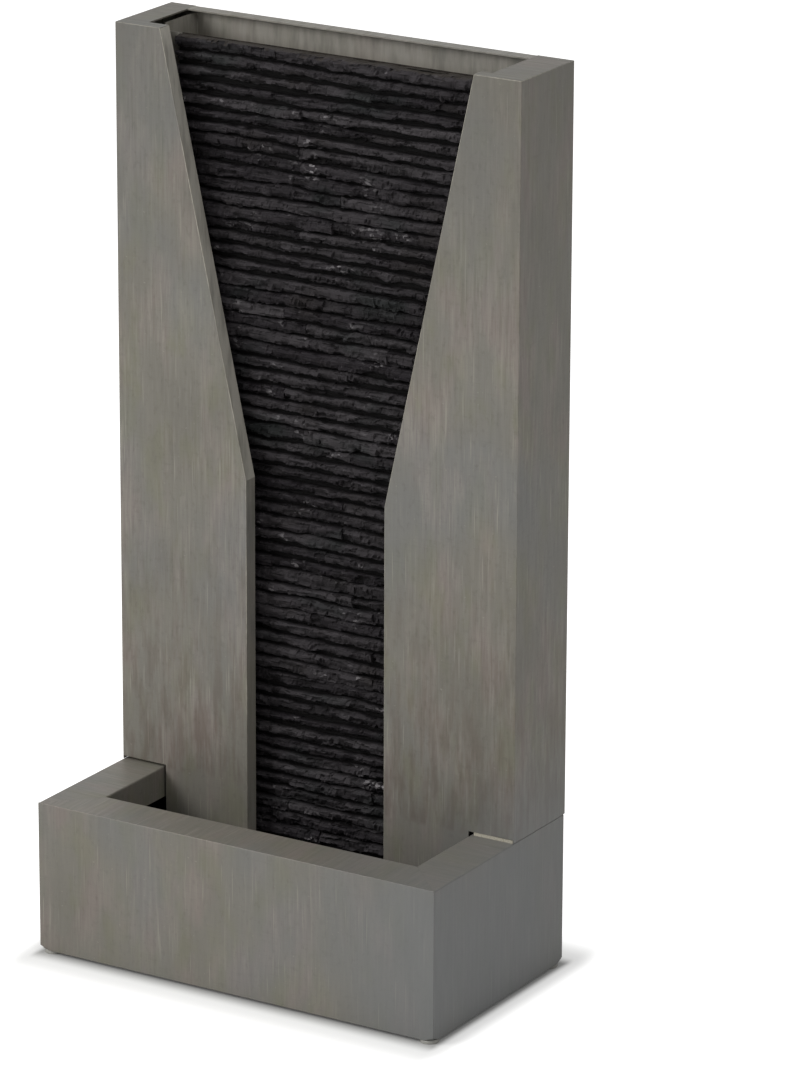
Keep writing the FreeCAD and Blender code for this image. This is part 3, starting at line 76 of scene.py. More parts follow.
camera_data = bpy.data.cameras.new("camera")
camera_data.sensor_width = SENSOR
camera_data.lens = FOCAL_PIXELS / FRAME_PIXELS * SENSOR
camera_data.clip_start = NEAREST
camera_data.clip_end = FARTHEST
camera = bpy.data.objects.new("camera", camera_data)
bpy.context.scene.collection.objects.link(camera)
bpy.context.scene.camera = camera
towards_camera = Vector((
    math.sin(CAMERA_AZIMUTH) * math.cos(CAMERA_ELEVATION),
    -math.cos(CAMERA_AZIMUTH) * math.cos(CAMERA_ELEVATION),
    math.sin(CAMERA_ELEVATION),
))
camera.rotation_mode = "QUATERNION"
camera.rotation_quaternion = towards_camera.to_track_quat("Z", "Y") @ Quaternion((0, 0, 1), CAMERA_ROLL)
camera.location = CAMERA_TARGET + towards_camera * CAMERA_DISTANCE


# Studio: a pale floor and a white surrounding, a broad soft lamp at the front left and above, a larger one at
# the right and above, a weak one in front. The floor glows white away from the fountain and less near its
# foot, so the soft shadow at its foot is partly cast by the lamps and partly a painted shadow.

AMBIENT = 0.20
LAMP_AIM = Vector((0, 0, 0.45))
LAMPS = {  # name: its place, the side of its square, its power
    "key": (Vector((-2.4, -3.0, 2.6)), 2.0, 122.0),
    "front": (Vector((0.3, -4.2, 1.4)), 2.0, 20.0),
    "side": (Vector((2.6, -1.6, 3.0)), 3.0, 43.0),
}
FLOOR_RADIUS = 14.0
FLOOR_COLOUR = "#bcbcba"
# Painted shadow: the floor's glow rises over these distances off the foot, faster at the sides.
FLOOR_LIFTS = ((-0.004, 0.020, 0.50), (0.016, 0.080, 0.55))  # from here to there off the foot, by how much
SIDE_SHARE = (2.3, 1.0, 1.0)  # the shadow is shorter at the sides than in front
FOOTPRINT = (CAD_BOX[1][0], CAD_BOX[1][1], 0.0)


def linear(colour):
    """Linear red, green, blue and alpha of an sRGB hex colour."""
    parts = [int(colour[at:at + 2], 16) / 255 for at in (1, 3, 5)]
    return [c / 12.92 if c <= 0.04045 else ((c + 0.055) / 1.055) ** 2.4 for c in parts] + [1.0]


def source_of(value):
    """The socket that an input is linked from, where it is given by one or by a number with one."""
    value = getattr(value, "socket", value)
    return value if isinstance(value, bpy.types.NodeSocket) else None


def add(tree, kind, settings={}, inputs={}):
    """Adds a node with its settings. An input is a value, what it is linked from, or a place that
    is joined from three of these."""
    node = tree.nodes.new(kind)
    for name, value in settings.items():
        setattr(node, name, value)
    for name, value in inputs.items():
        if isinstance(value, tuple) and any(source_of(part) for part in value):
            value = add(tree, "ShaderNodeCombineXYZ", {}, dict(enumerate(value))).outputs[0]
        if source_of(value):
            tree.links.new(source_of(value), node.inputs[name])
        else:
            node.inputs[name].default_value = value
    return node


def seen_directly(tree):
    """1 for what the camera sees itself, in a reflection or through glass, 0 for light that falls."""
    path = add(tree, "ShaderNodeLightPath").outputs
    rays = path["Is Camera Ray"]
    for name in ("Is Glossy Ray", "Is Transmission Ray"):
        rays = add(tree, "ShaderNodeMath", {"operation": "MAXIMUM"}, {0: rays, 1: path[name]}).outputs[0]
    return rays


def new_finish(name):
    """A new material with an empty tree; gives both."""
    material = bpy.data.materials.new(name)
    material.use_nodes = True
    material.node_tree.nodes.clear()
    return material, material.node_tree


bpy.context.scene.view_settings.view_transform = "Standard"

world = bpy.data.worlds.new("studio")
bpy.context.scene.world = world
world.use_nodes = True
tree = world.node_tree
tree.nodes.clear()
falling, shown = (
    add(tree, "ShaderNodeBackground", {}, {"Color": (1, 1, 1, 1), "Strength": strength}).outputs[0]
    for strength in (AMBIENT, 1.0)
)
chosen = add(tree, "ShaderNodeMixShader", {}, {0: seen_directly(tree), 1: falling, 2: shown})
add(tree, "ShaderNodeOutputWorld", {}, {"Surface": chosen.outputs[0]})

for name, (place, side, power) in LAMPS.items():
    lamp_data = bpy.data.lights.new(name, "AREA")
    lamp_data.shape = "SQUARE"
    lamp_data.size = side
    lamp_data.energy = power
    lamp = bpy.data.objects.new(name, lamp_data)
    lamp.location = place
    lamp.rotation_mode = "QUATERNION"
    lamp.rotation_quaternion = (place - LAMP_AIM).to_track_quat("Z", "Y")
    bpy.context.scene.collection.objects.link(lamp)

paint, tree = new_finish("studio_floor")
place = add(tree, "ShaderNodeTexCoord").outputs["Object"]
beside = add(tree, "ShaderNodeVectorMath", {"operation": "ABSOLUTE"}, {0: place}).outputs[0]
for operation, by in (("SUBTRACT", FOOTPRINT), ("MAXIMUM", (0, 0, 0)), ("MULTIPLY", SIDE_SHARE)):
    beside = add(tree, "ShaderNodeVectorMath", {"operation": operation}, {0: beside, 1: by}).outputs[0]
gap = add(tree, "ShaderNodeVectorMath", {"operation": "LENGTH"}, {0: beside}).outputs[1]
# Painted shadow: the glow that lifts the floor to white falls off towards the fountain's foot.
lifts = []
for start, end, share in FLOOR_LIFTS:
    limits = {0: gap, 1: start, 2: end, 3: 0.0, 4: share}
    lifts.append(add(tree, "ShaderNodeMapRange", {"interpolation_type": "SMOOTHSTEP"}, limits).outputs[0])
lift = add(tree, "ShaderNodeMath", {"operation": "ADD"}, dict(enumerate(lifts))).outputs[0]
lift = add(tree, "ShaderNodeMath", {"operation": "MULTIPLY"}, {0: seen_directly(tree), 1: lift}).outputs[0]
matt = add(tree, "ShaderNodeBsdfDiffuse", {}, {"Color": linear(FLOOR_COLOUR)}).outputs[0]
glow = add(tree, "ShaderNodeEmission", {}, {"Color": (1, 1, 1, 1), "Strength": lift}).outputs[0]
both = add(tree, "ShaderNodeAddShader", {}, {0: matt, 1: glow}).outputs[0]
add(tree, "ShaderNodeOutputMaterial", {}, {"Surface": both})

floor_mesh = bpy.data.meshes.new("floor")
shape = bmesh.new()
bmesh.ops.create_circle(shape, cap_ends=True, radius=FLOOR_RADIUS, segments=96)
shape.to_mesh(floor_mesh)
shape.free()
floor_mesh.materials.append(paint)
floor = bpy.data.objects.new("floor", floor_mesh)
bpy.context.scene.collection.objects.link(floor)


# Basin walls: zinc-look sheet, brushed along its height and dulled by a grey patina, folded over
# at the rim and down again as a lip. The rims meet in mitres at the front corners.

SHEET = 1.5 * MM
FOLD_RADIUS = 1.9 * MM
CUT_ROUNDING = 0.4 * MM
# Folds are made paler partly for wear and partly as a painted highlight.
FOLD_WEAR_AND_HIGHLIGHT = 0.25
FOLD_STEPS = 4
SHARP = math.radians(30)
FLAT = math.radians(0.5)
UPRIGHT = 0.7
THIN_FACE = 1.8 * MM
MERGE = 0.01 * MM

RIM_HEIGHT = 155 * MM
# Painted light: how much paler the rims' tops and the front's upright faces are made, as if more light fell
# on them.
RIM_PAINTED_LIGHT = 0.12
FRONT_DEPTH = -120 * MM
FRONT_PAINTED_LIGHT = 0.04
BASIN_SHEETS = {  # each sheet and the way that its marks run where it lies level
    "basin_wall_front": "y",
    "basin_wall_left": "x",
    "basin_wall_right": "x",
    "basin_wall_rear": "y",
    "basin_floor": "x",
}

ZINC = "#716e66"
ZINC_ROSE = "#7a6f6a"
ZINC_OLIVE = "#6e6d5c"
ZINC_BLUE = "#6a6c6d"
ZINC_STREAK = "#918d83"
# Darker zinc, used for stains and for painted shade.
ZINC_STAIN_AND_SHADE = "#4f4c45"
ZINC_WATER_AND_SHADE = "#56493f"
# Paler at folds: partly wear, partly a painted highlight.
ZINC_WORN_AND_HIGHLIGHT = "#a09c90"
# Painted light: the paler colour laid on faces that stand in the light.
ZINC_PAINTED_LIGHT = "#b5b1a7"

RIM_LEVEL = 160 * MM
SIDE_FACE = 229 * MM
SPLASHED = (460 * MM, 200 * MM)
# Painted shade: the zinc is darkened from the first height up to the second.
PAINTED_TOP_SHADE = (620 * MM, 930 * MM)
COOL_UP = (240 * MM, 140 * MM)
COOL_ACROSS = (90 * MM, 230 * MM)
# Painted shade low in the trough: from the first height down to the second, from the first depth back.
PAINTED_SHADE_UP = (906 * MM, 893 * MM)
PAINTED_SHADE_BACK = (62 * MM, 64 * MM)


def patterned(tree, patterns):
    """Noise for each named pattern, from the map that it follows, the real sizes of its marks in
    millimetres, its detail and its roughness. The map of a sheet has two directions."""
    made = SimpleNamespace()
    for name, (lie, sizes, detail, roughness) in patterns.items():
        scale = ([1 / (size * MM) for size in sizes] + [1.0])[:3]
        scaled = add(tree, "ShaderNodeMapping", {}, {"Vector": lie, "Scale": scale}).outputs[0]
        inputs = {"Vector": scaled, "Scale": 1.0, "Detail": detail, "Roughness": roughness}
        setattr(made, name, add(tree, "ShaderNodeTexNoise", {}, inputs).outputs[0])
    return made


def share_of(tree, *bands):
    """The product of bands. A band is a value as it is, or a value with the two limits between
    which it counts and what it gives at either."""
    share = None
    for band in bands:
        if isinstance(band, tuple):
            band = add(tree, "ShaderNodeMapRange", {}, dict(enumerate(band))).outputs[0]
        if share is not None:
            band = add(tree, "ShaderNodeMath", {"operation": "MULTIPLY"}, {0: share, 1: band}).outputs[0]
        share = band
    return share


def layered(tree, ground, layers):
    """A colour with layers of other colours laid over it, each by the share that its bands give."""
    colour = linear(ground)
    for tint, *bands in layers:
        inputs = {0: share_of(tree, *bands), 6: colour, 7: linear(tint)}
        colour = add(tree, "ShaderNodeMix", {"data_type": "RGBA"}, inputs).outputs[2]
    return colour


def coated(tree, surface):
    """Ends the tree of a finish in one shader that has this surface."""
    shader = add(tree, "ShaderNodeBsdfPrincipled", {}, surface)
    add(tree, "ShaderNodeOutputMaterial", {}, {"Surface": shader.outputs[0]})


def weathered_zinc():
    """Pre-weathered zinc sheet: vertical brush marks under a mottled patina, paler at folds from wear and a
    painted highlight, with painted light on some faces and painted shade in places.
    The real brush marks are 0.2 mm wide; they are drawn 0.87 mm wide so that they show."""
    material, tree = new_finish("weathered_zinc")
    sheet = add(tree, "ShaderNodeUVMap", {"uv_map": "sheet"}).outputs[0]
    place = add(tree, "ShaderNodeTexCoord").outputs["Object"]
    across, depth, height = add(tree, "ShaderNodeSeparateXYZ", {}, {0: place}).outputs
    outwards = add(tree, "ShaderNodeMath", {"operation": "ABSOLUTE"}, {0: across}).outputs[0]
    bright, cut, fold = (
        add(tree, "ShaderNodeAttribute", {"attribute_name": name}).outputs["Fac"]
        for name in ("bright", "cut", "fold")
    )
    noise = patterned(tree, {
        "hairs": (sheet, (0.8696, 41.67), 2.0, 0.5),
        "streaks": (sheet, (4.0, 66.67), 3.0, 0.6),
        "scratches": (sheet, (2.326, 76.92), 1.0, 0.5),
        "blots": (sheet, (29.41, 76.92), 3.0, 0.55),
        "smears": (sheet, (47.62, 125.0), 3.0, 0.55),
        "marks": (sheet, (10.53, 58.82), 3.0, 0.6),
        "crossing": (sheet, (33.33, 1.4286), 2.0, 0.5),
        "flecks": (sheet, (4.348, 3.03), 1.0, 0.5),
        "clouds": (place, (142.9, 142.9, 200.0), 2.0, 0.5),
        "specks": (place, (5.0, 5.0, 8.333), 3.0, 0.6),
        "wear": (place, (76.92, 76.92, 76.92), 3.0, 0.6),
    })
    over_rim = (height, RIM_LEVEL - 2 * MM, RIM_LEVEL + 2 * MM)
    rubbed = share_of(
        tree,
        (noise.smears, 0.42, 0.58, 0.25, 1.0),
        (*over_rim, 0.5, 1.0),
        (outwards, SIDE_FACE - 0.5 * MM, SIDE_FACE, 1.0, 0.55),
    )
    colour = layered(tree, ZINC, (
        # patina in broad patches
        (ZINC_ROSE, (noise.smears, 0.48, 0.64, 0.0, 0.75)),
        (ZINC_OLIVE, (noise.blots, 0.50, 0.64, 0.0, 0.65)),
        (ZINC_BLUE, (noise.clouds, 0.46, 0.62, 0.0, 0.50)),
        (ZINC_STAIN_AND_SHADE, (noise.clouds, 0.46, 0.30, 0.0, 0.22)),
        # brush marks where the patina is rubbed thin
        (ZINC_STREAK, rubbed, (noise.streaks, 0.50, 0.70, 0.0, 0.42)),
        (ZINC_STAIN_AND_SHADE, rubbed, (noise.streaks, 0.47, 0.30, 0.0, 0.40)),
        (ZINC_STREAK, rubbed, (noise.hairs, 0.3, 0.7, 0.0, 0.28)),
        # cross marks, spots, scratches and flecks
        (ZINC_STAIN_AND_SHADE, (noise.crossing, 0.55, 0.75, 0.0, 0.12)),
        (ZINC_STAIN_AND_SHADE, (noise.specks, 0.54, 0.7, 0.0, 0.22)),
        (ZINC_STREAK, (noise.scratches, 0.66, 0.74, 0.0, 0.55)),
        (ZINC_STREAK, (noise.flecks, 0.74, 0.80, 0.0, 0.5)),
        # brown splashes over the rim, painted shade on the upper part, a cooler right end of the basin
        (ZINC_WATER_AND_SHADE, (*over_rim, 0.0, 1.0), (height, *SPLASHED, 0.0, 1.0),
         (noise.marks, 0.44, 0.62, 0.0, 0.45)),
        (ZINC_STAIN_AND_SHADE, (height, *PAINTED_TOP_SHADE, 0.0, 0.40)),
        (ZINC_BLUE, (height, *COOL_UP, 0.0, 0.7), (across, *COOL_ACROSS, 0.0, 1.0)),
        # painted light on the faces marked bright, with painted shade low in the trough near the slate
        (ZINC_PAINTED_LIGHT, bright, (noise.marks, 0.36, 0.60, 0.50, 1.15)),
        (ZINC_WATER_AND_SHADE, bright, (height, *PAINTED_SHADE_UP, 0.0, 0.75), (depth, *PAINTED_SHADE_BACK, 0.0, 1.0)),
        # cut edges, and folds paler partly from wear and partly as a painted highlight
        (ZINC_STAIN_AND_SHADE, cut, 0.5),
        (ZINC_WORN_AND_HIGHLIGHT, fold, (noise.specks, 0.3, 0.6, 0.75, 0.35), (noise.wear, 0.40, 0.58, 0.30, 1.15)),
    ))
    brushed = add(tree, "ShaderNodeMath", {"operation": "ADD"}, {0: noise.hairs, 1: noise.streaks}).outputs[0]
    relief = add(tree, "ShaderNodeBump", {}, {"Height": brushed, "Distance": 0.03 * MM, "Strength": 0.6})
    coated(tree, {
        "Base Color": colour,
        "Metallic": 0.12,
        "Specular IOR Level": 0.35,
        "Roughness": share_of(tree, (noise.streaks, 0.3, 0.7, 0.56, 0.46)),
        "Normal": relief.outputs[0],
    })
    return material


def solid_of(node):
    """The solid of a part of the frame, with its loose triangles merged to whole faces."""
    shape = bmesh.new()
    shape.from_mesh(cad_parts[node].data)
    bmesh.ops.remove_doubles(shape, verts=shape.verts, dist=MERGE)
    bmesh.ops.dissolve_limit(shape, angle_limit=FLAT, verts=shape.verts, edges=shape.edges)
    return shape


def sharp_edges(shape):
    """Edges between two faces that meet at a clear angle."""
    return [e for e in shape.edges if len(e.link_faces) == 2 and e.calc_face_angle(0) > SHARP]


def rounded(shape, edges, radius, steps):
    """Rounds some edges of a shape and gives the faces that this makes."""
    if not edges:
        return []
    made = bmesh.ops.bevel(shape, geom=edges, offset=radius, segments=steps, profile=0.5,
                           affect="EDGES", clamp_overlap=True)
    return made["faces"]


def piece_from(shape, name):
    """The plain mesh object of a shape that is finished."""
    mesh = bpy.data.meshes.new(name)
    shape.to_mesh(mesh)
    shape.free()
    piece = bpy.data.objects.new(name, mesh)
    bpy.context.scene.collection.objects.link(piece)
    return piece


def face_width(face):
    """Rough width of a face: the thickness of the sheet for a cut edge's face."""
    return 2 * face.calc_area() / sum(edge.calc_length() for edge in face.edges)


def folded_sheet(node, top_grain, wear=FOLD_WEAR_AND_HIGHLIGHT):
    """A sheet piece of the frame with rounded folds and cut edges, and the lie of its brush marks.
    The map called sheet runs across the marks first and along them second, in metres."""
    shape = solid_of(node)
    fold = shape.faces.layers.float.new("fold")
    bent = shape.faces.layers.int.new("bent")
    cut_edge = shape.faces.layers.float.new("cut")
    wide = [e for e in sharp_edges(shape) if all(face_width(f) > THIN_FACE for f in e.link_faces)]
    outer = [e for e in wide if e.is_convex]
    inner = [e for e in wide if not e.is_convex]
    for edges, radius in ((outer, FOLD_RADIUS), (inner, FOLD_RADIUS - SHEET)):
        for face in rounded(shape, [e for e in edges if e.is_valid], radius, FOLD_STEPS):
            face[fold] = wear
            face[bent] = 1
            face.smooth = True
    cut = [e for e in sharp_edges(shape) if not all(f[bent] for f in e.link_faces)]
    for face in rounded(shape, cut, CUT_ROUNDING, 2):
        face[cut_edge] = 1.0
    unfolded = shape.loops.layers.uv.new("sheet")
    for face in shape.faces:
        level = abs(face.normal.z) > UPRIGHT
        for loop in face.loops:
            x, y, z = loop.vert.co
            if not level:
                loop[unfolded].uv = (x + y, z)
            elif top_grain == "y":
                loop[unfolded].uv = (x, y)
            else:
                loop[unfolded].uv = (y, x)
    return piece_from(shape, node + "_sheet")


zinc = weathered_zinc()
for node, top_grain in BASIN_SHEETS.items():
    piece = folded_sheet(node, top_grain, wear=0.0)
    piece.data.materials.append(zinc)
    # Painted light: the rims' tops and the front's upright faces are made paler, as if more light fell on
    # them.
    bright = piece.data.attributes.new("bright", "FLOAT", "FACE")
    for face in piece.data.polygons:
        if face.normal.z > UPRIGHT and face.center.z > RIM_HEIGHT:
            bright.data[face.index].value = RIM_PAINTED_LIGHT
        elif face.normal.y < -UPRIGHT and face.center.y < FRONT_DEPTH:
            bright.data[face.index].value = FRONT_PAINTED_LIGHT
    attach(piece, "basin")
    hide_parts(node)


# Feet: four turned pads of grey rubber pushed on under the basin's corners. The near one shows as
# a pale spot under the front corner.

FOOT_ROUNDING = 0.8 * MM
MOTTLE = 40 * MM
GLOSS_SPREAD = 0.06


def moulded(node, rounding, steps=2):
    """A copy of a part of the frame with rounded edges, shaded smooth where its surface is curved."""
    shape = solid_of(node)
    for edge in shape.edges:
        if len(edge.link_faces) == 2 and FLAT < edge.calc_face_angle(0) <= SHARP:
            for face in edge.link_faces:
                face.smooth = True
    for face in rounded(shape, sharp_edges(shape), rounding, steps):
        face.smooth = True
    for edge in sharp_edges(shape):
        edge.smooth = False
    return piece_from(shape, node + "_moulded")


def speckled(name, colour, second, roughness, grain, relief, metallic=0.0):
    """A dull material of one colour, mottled with a second, with a fine grain in its surface. The
    grain's size and its relief are in metres."""
    material, tree = new_finish(name)
    place = add(tree, "ShaderNodeTexCoord").outputs["Object"]
    fine, broad = (
        add(tree, "ShaderNodeTexNoise", {}, {"Vector": place, "Scale": 1 / size, "Detail": detail}).outputs[0]
        for size, detail in ((grain, 2.0), (MOTTLE, 3.0))
    )
    mottled = share_of(tree, fine, broad)
    bump = add(tree, "ShaderNodeBump", {}, {"Height": fine, "Distance": relief})
    coated(tree, {
        "Base Color": layered(tree, colour, [(second, (mottled, 0.15, 0.38, 0.0, 1.0))]),
        "Metallic": metallic,
        "Roughness": share_of(tree, (broad, 0.3, 0.7, roughness - GLOSS_SPREAD, roughness + GLOSS_SPREAD)),
        "Normal": bump.outputs[0],
    })
    return material


def placed(piece, node, body, material):
    """Gives a finished piece its material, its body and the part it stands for."""
    piece.data.materials.clear()
    piece.data.materials.append(material)
    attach(piece, body)
    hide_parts(node)


# Grey rubber pad, moulded: dull, with a light bloom on it.
grey_rubber = speckled("grey_rubber_bloomed", "#8e8d88", "#a3a29c", 0.75, 0.6 * MM, 0.05 * MM)
for node in ("foot_front_left", "foot_front_right", "foot_rear_left", "foot_rear_right"):
    placed(moulded(node, FOOT_ROUNDING, 3), node, "basin", grey_rubber)


# Tub: one black tub, vacuum-formed from a sheet of plastic, that holds the water and the pump. It
# hangs in the walls by its turned-out edge.

TUB_ROUNDING = 0.6 * MM

# Vacuum-formed polyethylene: near black, half dull, a little uneven from the mould.
tub_plastic = speckled("vacuum_formed_polyethylene", "#1b1b1c", "#29292a", 0.48, 1.1 * MM, 0.08 * MM)
placed(moulded("basin_liner", TUB_ROUNDING), "basin_liner", "basin", tub_plastic)


# Grommet: a soft ring, moulded in black rubber and buttoned into the rear wall's hole. The pump's
# cable leaves through it.

# Black rubber, moulded: dull and even, with a fine dust.
black_rubber = speckled("black_rubber", "#191919", "#242424", 0.62, 0.5 * MM, 0.04 * MM)
placed(moulded("cable_grommet", 0.4 * MM), "cable_grommet", "basin", black_rubber)


# Tower: two side casings and a back panel of the same sheet. Each casing is folded at its wing's
# inner edge and along its top, and the panel is folded in at its sides.

RETURN_REACH = 180 * MM
RETURN_FRONT = 28 * MM
RETURN_BACK = 45 * MM
# Painted light: how much paler the returns are made, as if more light fell on them, left and right, less
# below the bend, and the back panel's top likewise; the wear on their folds is partly a painted highlight.
RETURN_PAINTED_LIGHT = (1.0, 0.4)  # left and right
RETURN_WEAR_AND_HIGHLIGHT = 1.6
BEND_HEIGHT = 480 * MM
LOW_PAINTED_LIGHT = 0.30
CROWN_HEIGHT = 915 * MM
CROWN_PAINTED_LIGHT = 0.30
CROWN_WEAR_AND_HIGHLIGHT = 0.9
TOWER_SHEETS = {
    "tower_side_left": "x",
    "tower_side_right": "x",
    "tower_back_panel": "y",
}

for node, top_grain in TOWER_SHEETS.items():
    piece = folded_sheet(node, top_grain)
    piece.data.materials.append(zinc)
    bright = piece.data.attributes.new("bright", "FLOAT", "FACE")
    fold = piece.data.attributes["fold"]
    # Painted light: the returns and the back panel's top are made paler; the folds along the top and on the
    # returns get more of the worn and painted highlight.
    for face in piece.data.polygons:
        x, y, z = face.center
        folded = fold.data[face.index].value > 0
        on_return = abs(x) < RETURN_REACH and y < RETURN_BACK
        if z > CROWN_HEIGHT and folded:
            fold.data[face.index].value = CROWN_WEAR_AND_HIGHLIGHT
        elif z > CROWN_HEIGHT and node == "tower_back_panel":
            bright.data[face.index].value = CROWN_PAINTED_LIGHT
        elif z < CROWN_HEIGHT and on_return and folded:
            fold.data[face.index].value = RETURN_WEAR_AND_HIGHLIGHT
        elif z < CROWN_HEIGHT and on_return and y > RETURN_FRONT:
            share = RETURN_PAINTED_LIGHT[x > 0]
            bright.data[face.index].value = share if z > BEND_HEIGHT else min(share, LOW_PAINTED_LIGHT)
    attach(piece, "tower")
    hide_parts(node)


# Seats: two flat strips of pale closed-cell foam glued under the casings, which stand on the side rims. The
# right one shows as a pale line under its wing; the foam's pale colour also stands in for a highlight along
# the casing's lower edge, a painted highlight.

FOAM_CELL = 1.2 * MM

# Closed-cell foam, skived: pale and chalky, partly as a painted highlight, with cells of 1.2 mm.
foam, tree = new_finish("closed_cell_foam")
place = add(tree, "ShaderNodeTexCoord").outputs["Object"]
cells = add(tree, "ShaderNodeTexVoronoi", {}, {"Vector": place, "Scale": 1 / FOAM_CELL}).outputs["Distance"]
bump = add(tree, "ShaderNodeBump", {}, {"Height": cells, "Distance": 0.2 * MM})
coated(tree, {
    "Base Color": layered(tree, "#b9b4a5", [("#8f8a7c", cells)]),
    "Roughness": 0.85,
    "Normal": bump.outputs[0],
})

# The strips' shape is right as it is, so each only gets its finish.
for node in ("tower_seat_left", "tower_seat_right"):
    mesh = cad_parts[node].data
    mesh.materials.clear()
    mesh.materials.append(foam)


# Slate wall: courses of split black slate, two stones to a course, glued over each other on a slab with open
# joints; the stones are painted darker the less they stand out, and the slab fully dark, as painted shade in
# the joints. Every stone is cleft, chipped and set a little differently. The courses are grown in a lower and
# an upper half.

SLATE_NODE = "slate_wall"
SLATE_COURSES = 63
SLATE_LOWER = 32
SLATE_STONES = 2
SLATE_RINGS = 116
SLATE_POINTS = 10
SLATE_WEB = 6 * MM
SLATE_PROUD = 7.6 * MM
SLATE_GAP = 2.2 * MM
SLATE_JOINT = 0.2 * MM
SLATE_WANDER = 9.0 * MM
SLATE_UNDERCUT = 0.45
SLATE_SEED = 11

STONE_SHIFT = 0.42
STONE_STEP = 1.3 * MM
BED_SPREAD = 0.22
RAGGED_EDGE = 5.4 * MM
SWELL = 5.0 * MM
BROKEN = (3.8 * MM, 3.0 * MM)
CHIPPED = (1.3 * MM, 1.6 * MM)
PITTED = 22.0 * MM
CREST_SUNK = 4.0 * MM
CLEFT_FRONT = 3 * MM
# Painted shade: below this share of the stone's reach, the stone is painted fully dark.
RECESS_SHADE_FROM = 0.14

SLATE_DARK = "#1f1c1f"
SLATE_PALE = "#423f41"
SLATE_BROWN = "#262321"
SLATE_GREEN = "#1d2522"
# Nearly black: cracks and pits, and painted shade in the recesses.
SLATE_CRACKS_AND_SHADE = "#060505"
# Painted highlight: the pale colour of the glints on chipped faces.
SLATE_PAINTED_GLINT = "#969294"
SLATE_DUST = "#47413a"


def split_slate():
    """Black clay slate, split along its bed and left rough: dull and nearly black, with thin layers, nests of
    small pale spots where it is chipped that are painted highlights of its cleavage faces, its recesses
    painted dark as shade, and brown dust on its top.
    Its layers are 0.4 mm thick and are drawn 1.25 mm thick so that they show."""
    material, tree = new_finish("split_black_slate")
    place = add(tree, "ShaderNodeTexCoord").outputs["Object"]
    height = add(tree, "ShaderNodeSeparateXYZ", {}, {0: place}).outputs[2]
    normal = add(tree, "ShaderNodeNewGeometry").outputs["Normal"]
    upward = add(tree, "ShaderNodeSeparateXYZ", {}, {0: normal}).outputs[2]
    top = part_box(SLATE_NODE)[1].z
    tone, deep = (
        add(tree, "ShaderNodeAttribute", {"attribute_name": name}).outputs["Fac"] for name in ("tone", "deep")
    )
    noise = patterned(tree, {
        "layers": (place, (16.67, 5.0, 1.25), 3.0, 0.5),
        "grit": (place, (1.4286, 1.4286, 1.4286), 2.0, 0.7),
        "patches": (place, (71.43, 71.43, 45.45), 2.0, 0.5),
        "nests": (place, (38.46, 38.46, 25.0), 2.0, 0.6),
        "cracks": (place, (19.23, 8.333, 1.7857), 2.0, 0.6),
        "pits": (place, (8.333, 8.333, 4.167), 2.0, 0.55),
    })
    flake_scale = [1 / (size * MM) for size in (3.846, 3.846, 2.3256)]
    scaled = add(tree, "ShaderNodeMapping", {}, {"Vector": place, "Scale": flake_scale}).outputs[0]
    flakes = add(tree, "ShaderNodeTexVoronoi", {}, {"Vector": scaled, "Scale": 1.0}).outputs["Color"]
    flake = add(tree, "ShaderNodeSeparateColor", {}, {0: flakes}).outputs[0]
    painted_glints = share_of(tree, (noise.nests, 0.60, 0.74, 0.0, 1.0), (flake, 0.72, 0.96, 0.0, 0.85))
    colour = layered(tree, SLATE_DARK, (
        (SLATE_PALE, tone),
        (SLATE_PALE, (noise.layers, 0.45, 0.7, 0.0, 0.6)),
        (SLATE_GREEN, (noise.patches, 0.56, 0.72, 0.0, 0.5)),
        (SLATE_BROWN, (noise.patches, 0.42, 0.28, 0.0, 0.5)),
        (SLATE_CRACKS_AND_SHADE, (noise.cracks, 0.42, 0.34, 0.0, 0.75)),
        (SLATE_CRACKS_AND_SHADE, (noise.pits, 0.38, 0.32, 0.0, 0.55)),
        # painted highlights in nests on the chipped faces
        (SLATE_PAINTED_GLINT, painted_glints),
        # painted shade: darker the less the stone stands out, the slab fully
        (SLATE_CRACKS_AND_SHADE, deep),
        (SLATE_DUST, (upward, 0.5, 0.9, 0.0, 0.50), (height, top - 10 * MM, top - 4 * MM, 0.0, 0.8)),
    ))
    rough = {0: noise.layers, 1: 1.5, 2: noise.grit}
    rough = add(tree, "ShaderNodeMath", {"operation": "MULTIPLY_ADD"}, rough).outputs[0]
    relief = add(tree, "ShaderNodeBump", {}, {"Height": rough, "Distance": 0.5 * MM})
    coated(tree, {
        "Base Color": colour,
        "Roughness": share_of(tree, (painted_glints, 0.0, 1.0, 0.68, 0.3)),
        "Specular IOR Level": 0.08,
        "Normal": relief.outputs[0],
    })
    return material


class Number:
    """A number in a geometry tree. Arithmetic with it adds the nodes that work out the result."""

    def __init__(self, socket):
        self.socket = socket

    def maths(self, operation, *others):
        """What an operation of the Math node makes of the number."""
        inputs = dict(enumerate((self, *others)))
        return Number(add(self.socket.id_data, "ShaderNodeMath", {"operation": operation}, inputs).outputs[0])

    def __add__(self, other):
        return self.maths("ADD", other)

    def __sub__(self, other):
        return self.maths("SUBTRACT", other)

    def __mul__(self, other):
        return self.maths("MULTIPLY", other)

    def __truediv__(self, other):
        return self.maths("DIVIDE", other)

    def within(self, low, high):
        """The number, held between two limits."""
        return self.maths("MAXIMUM", low).maths("MINIMUM", high)


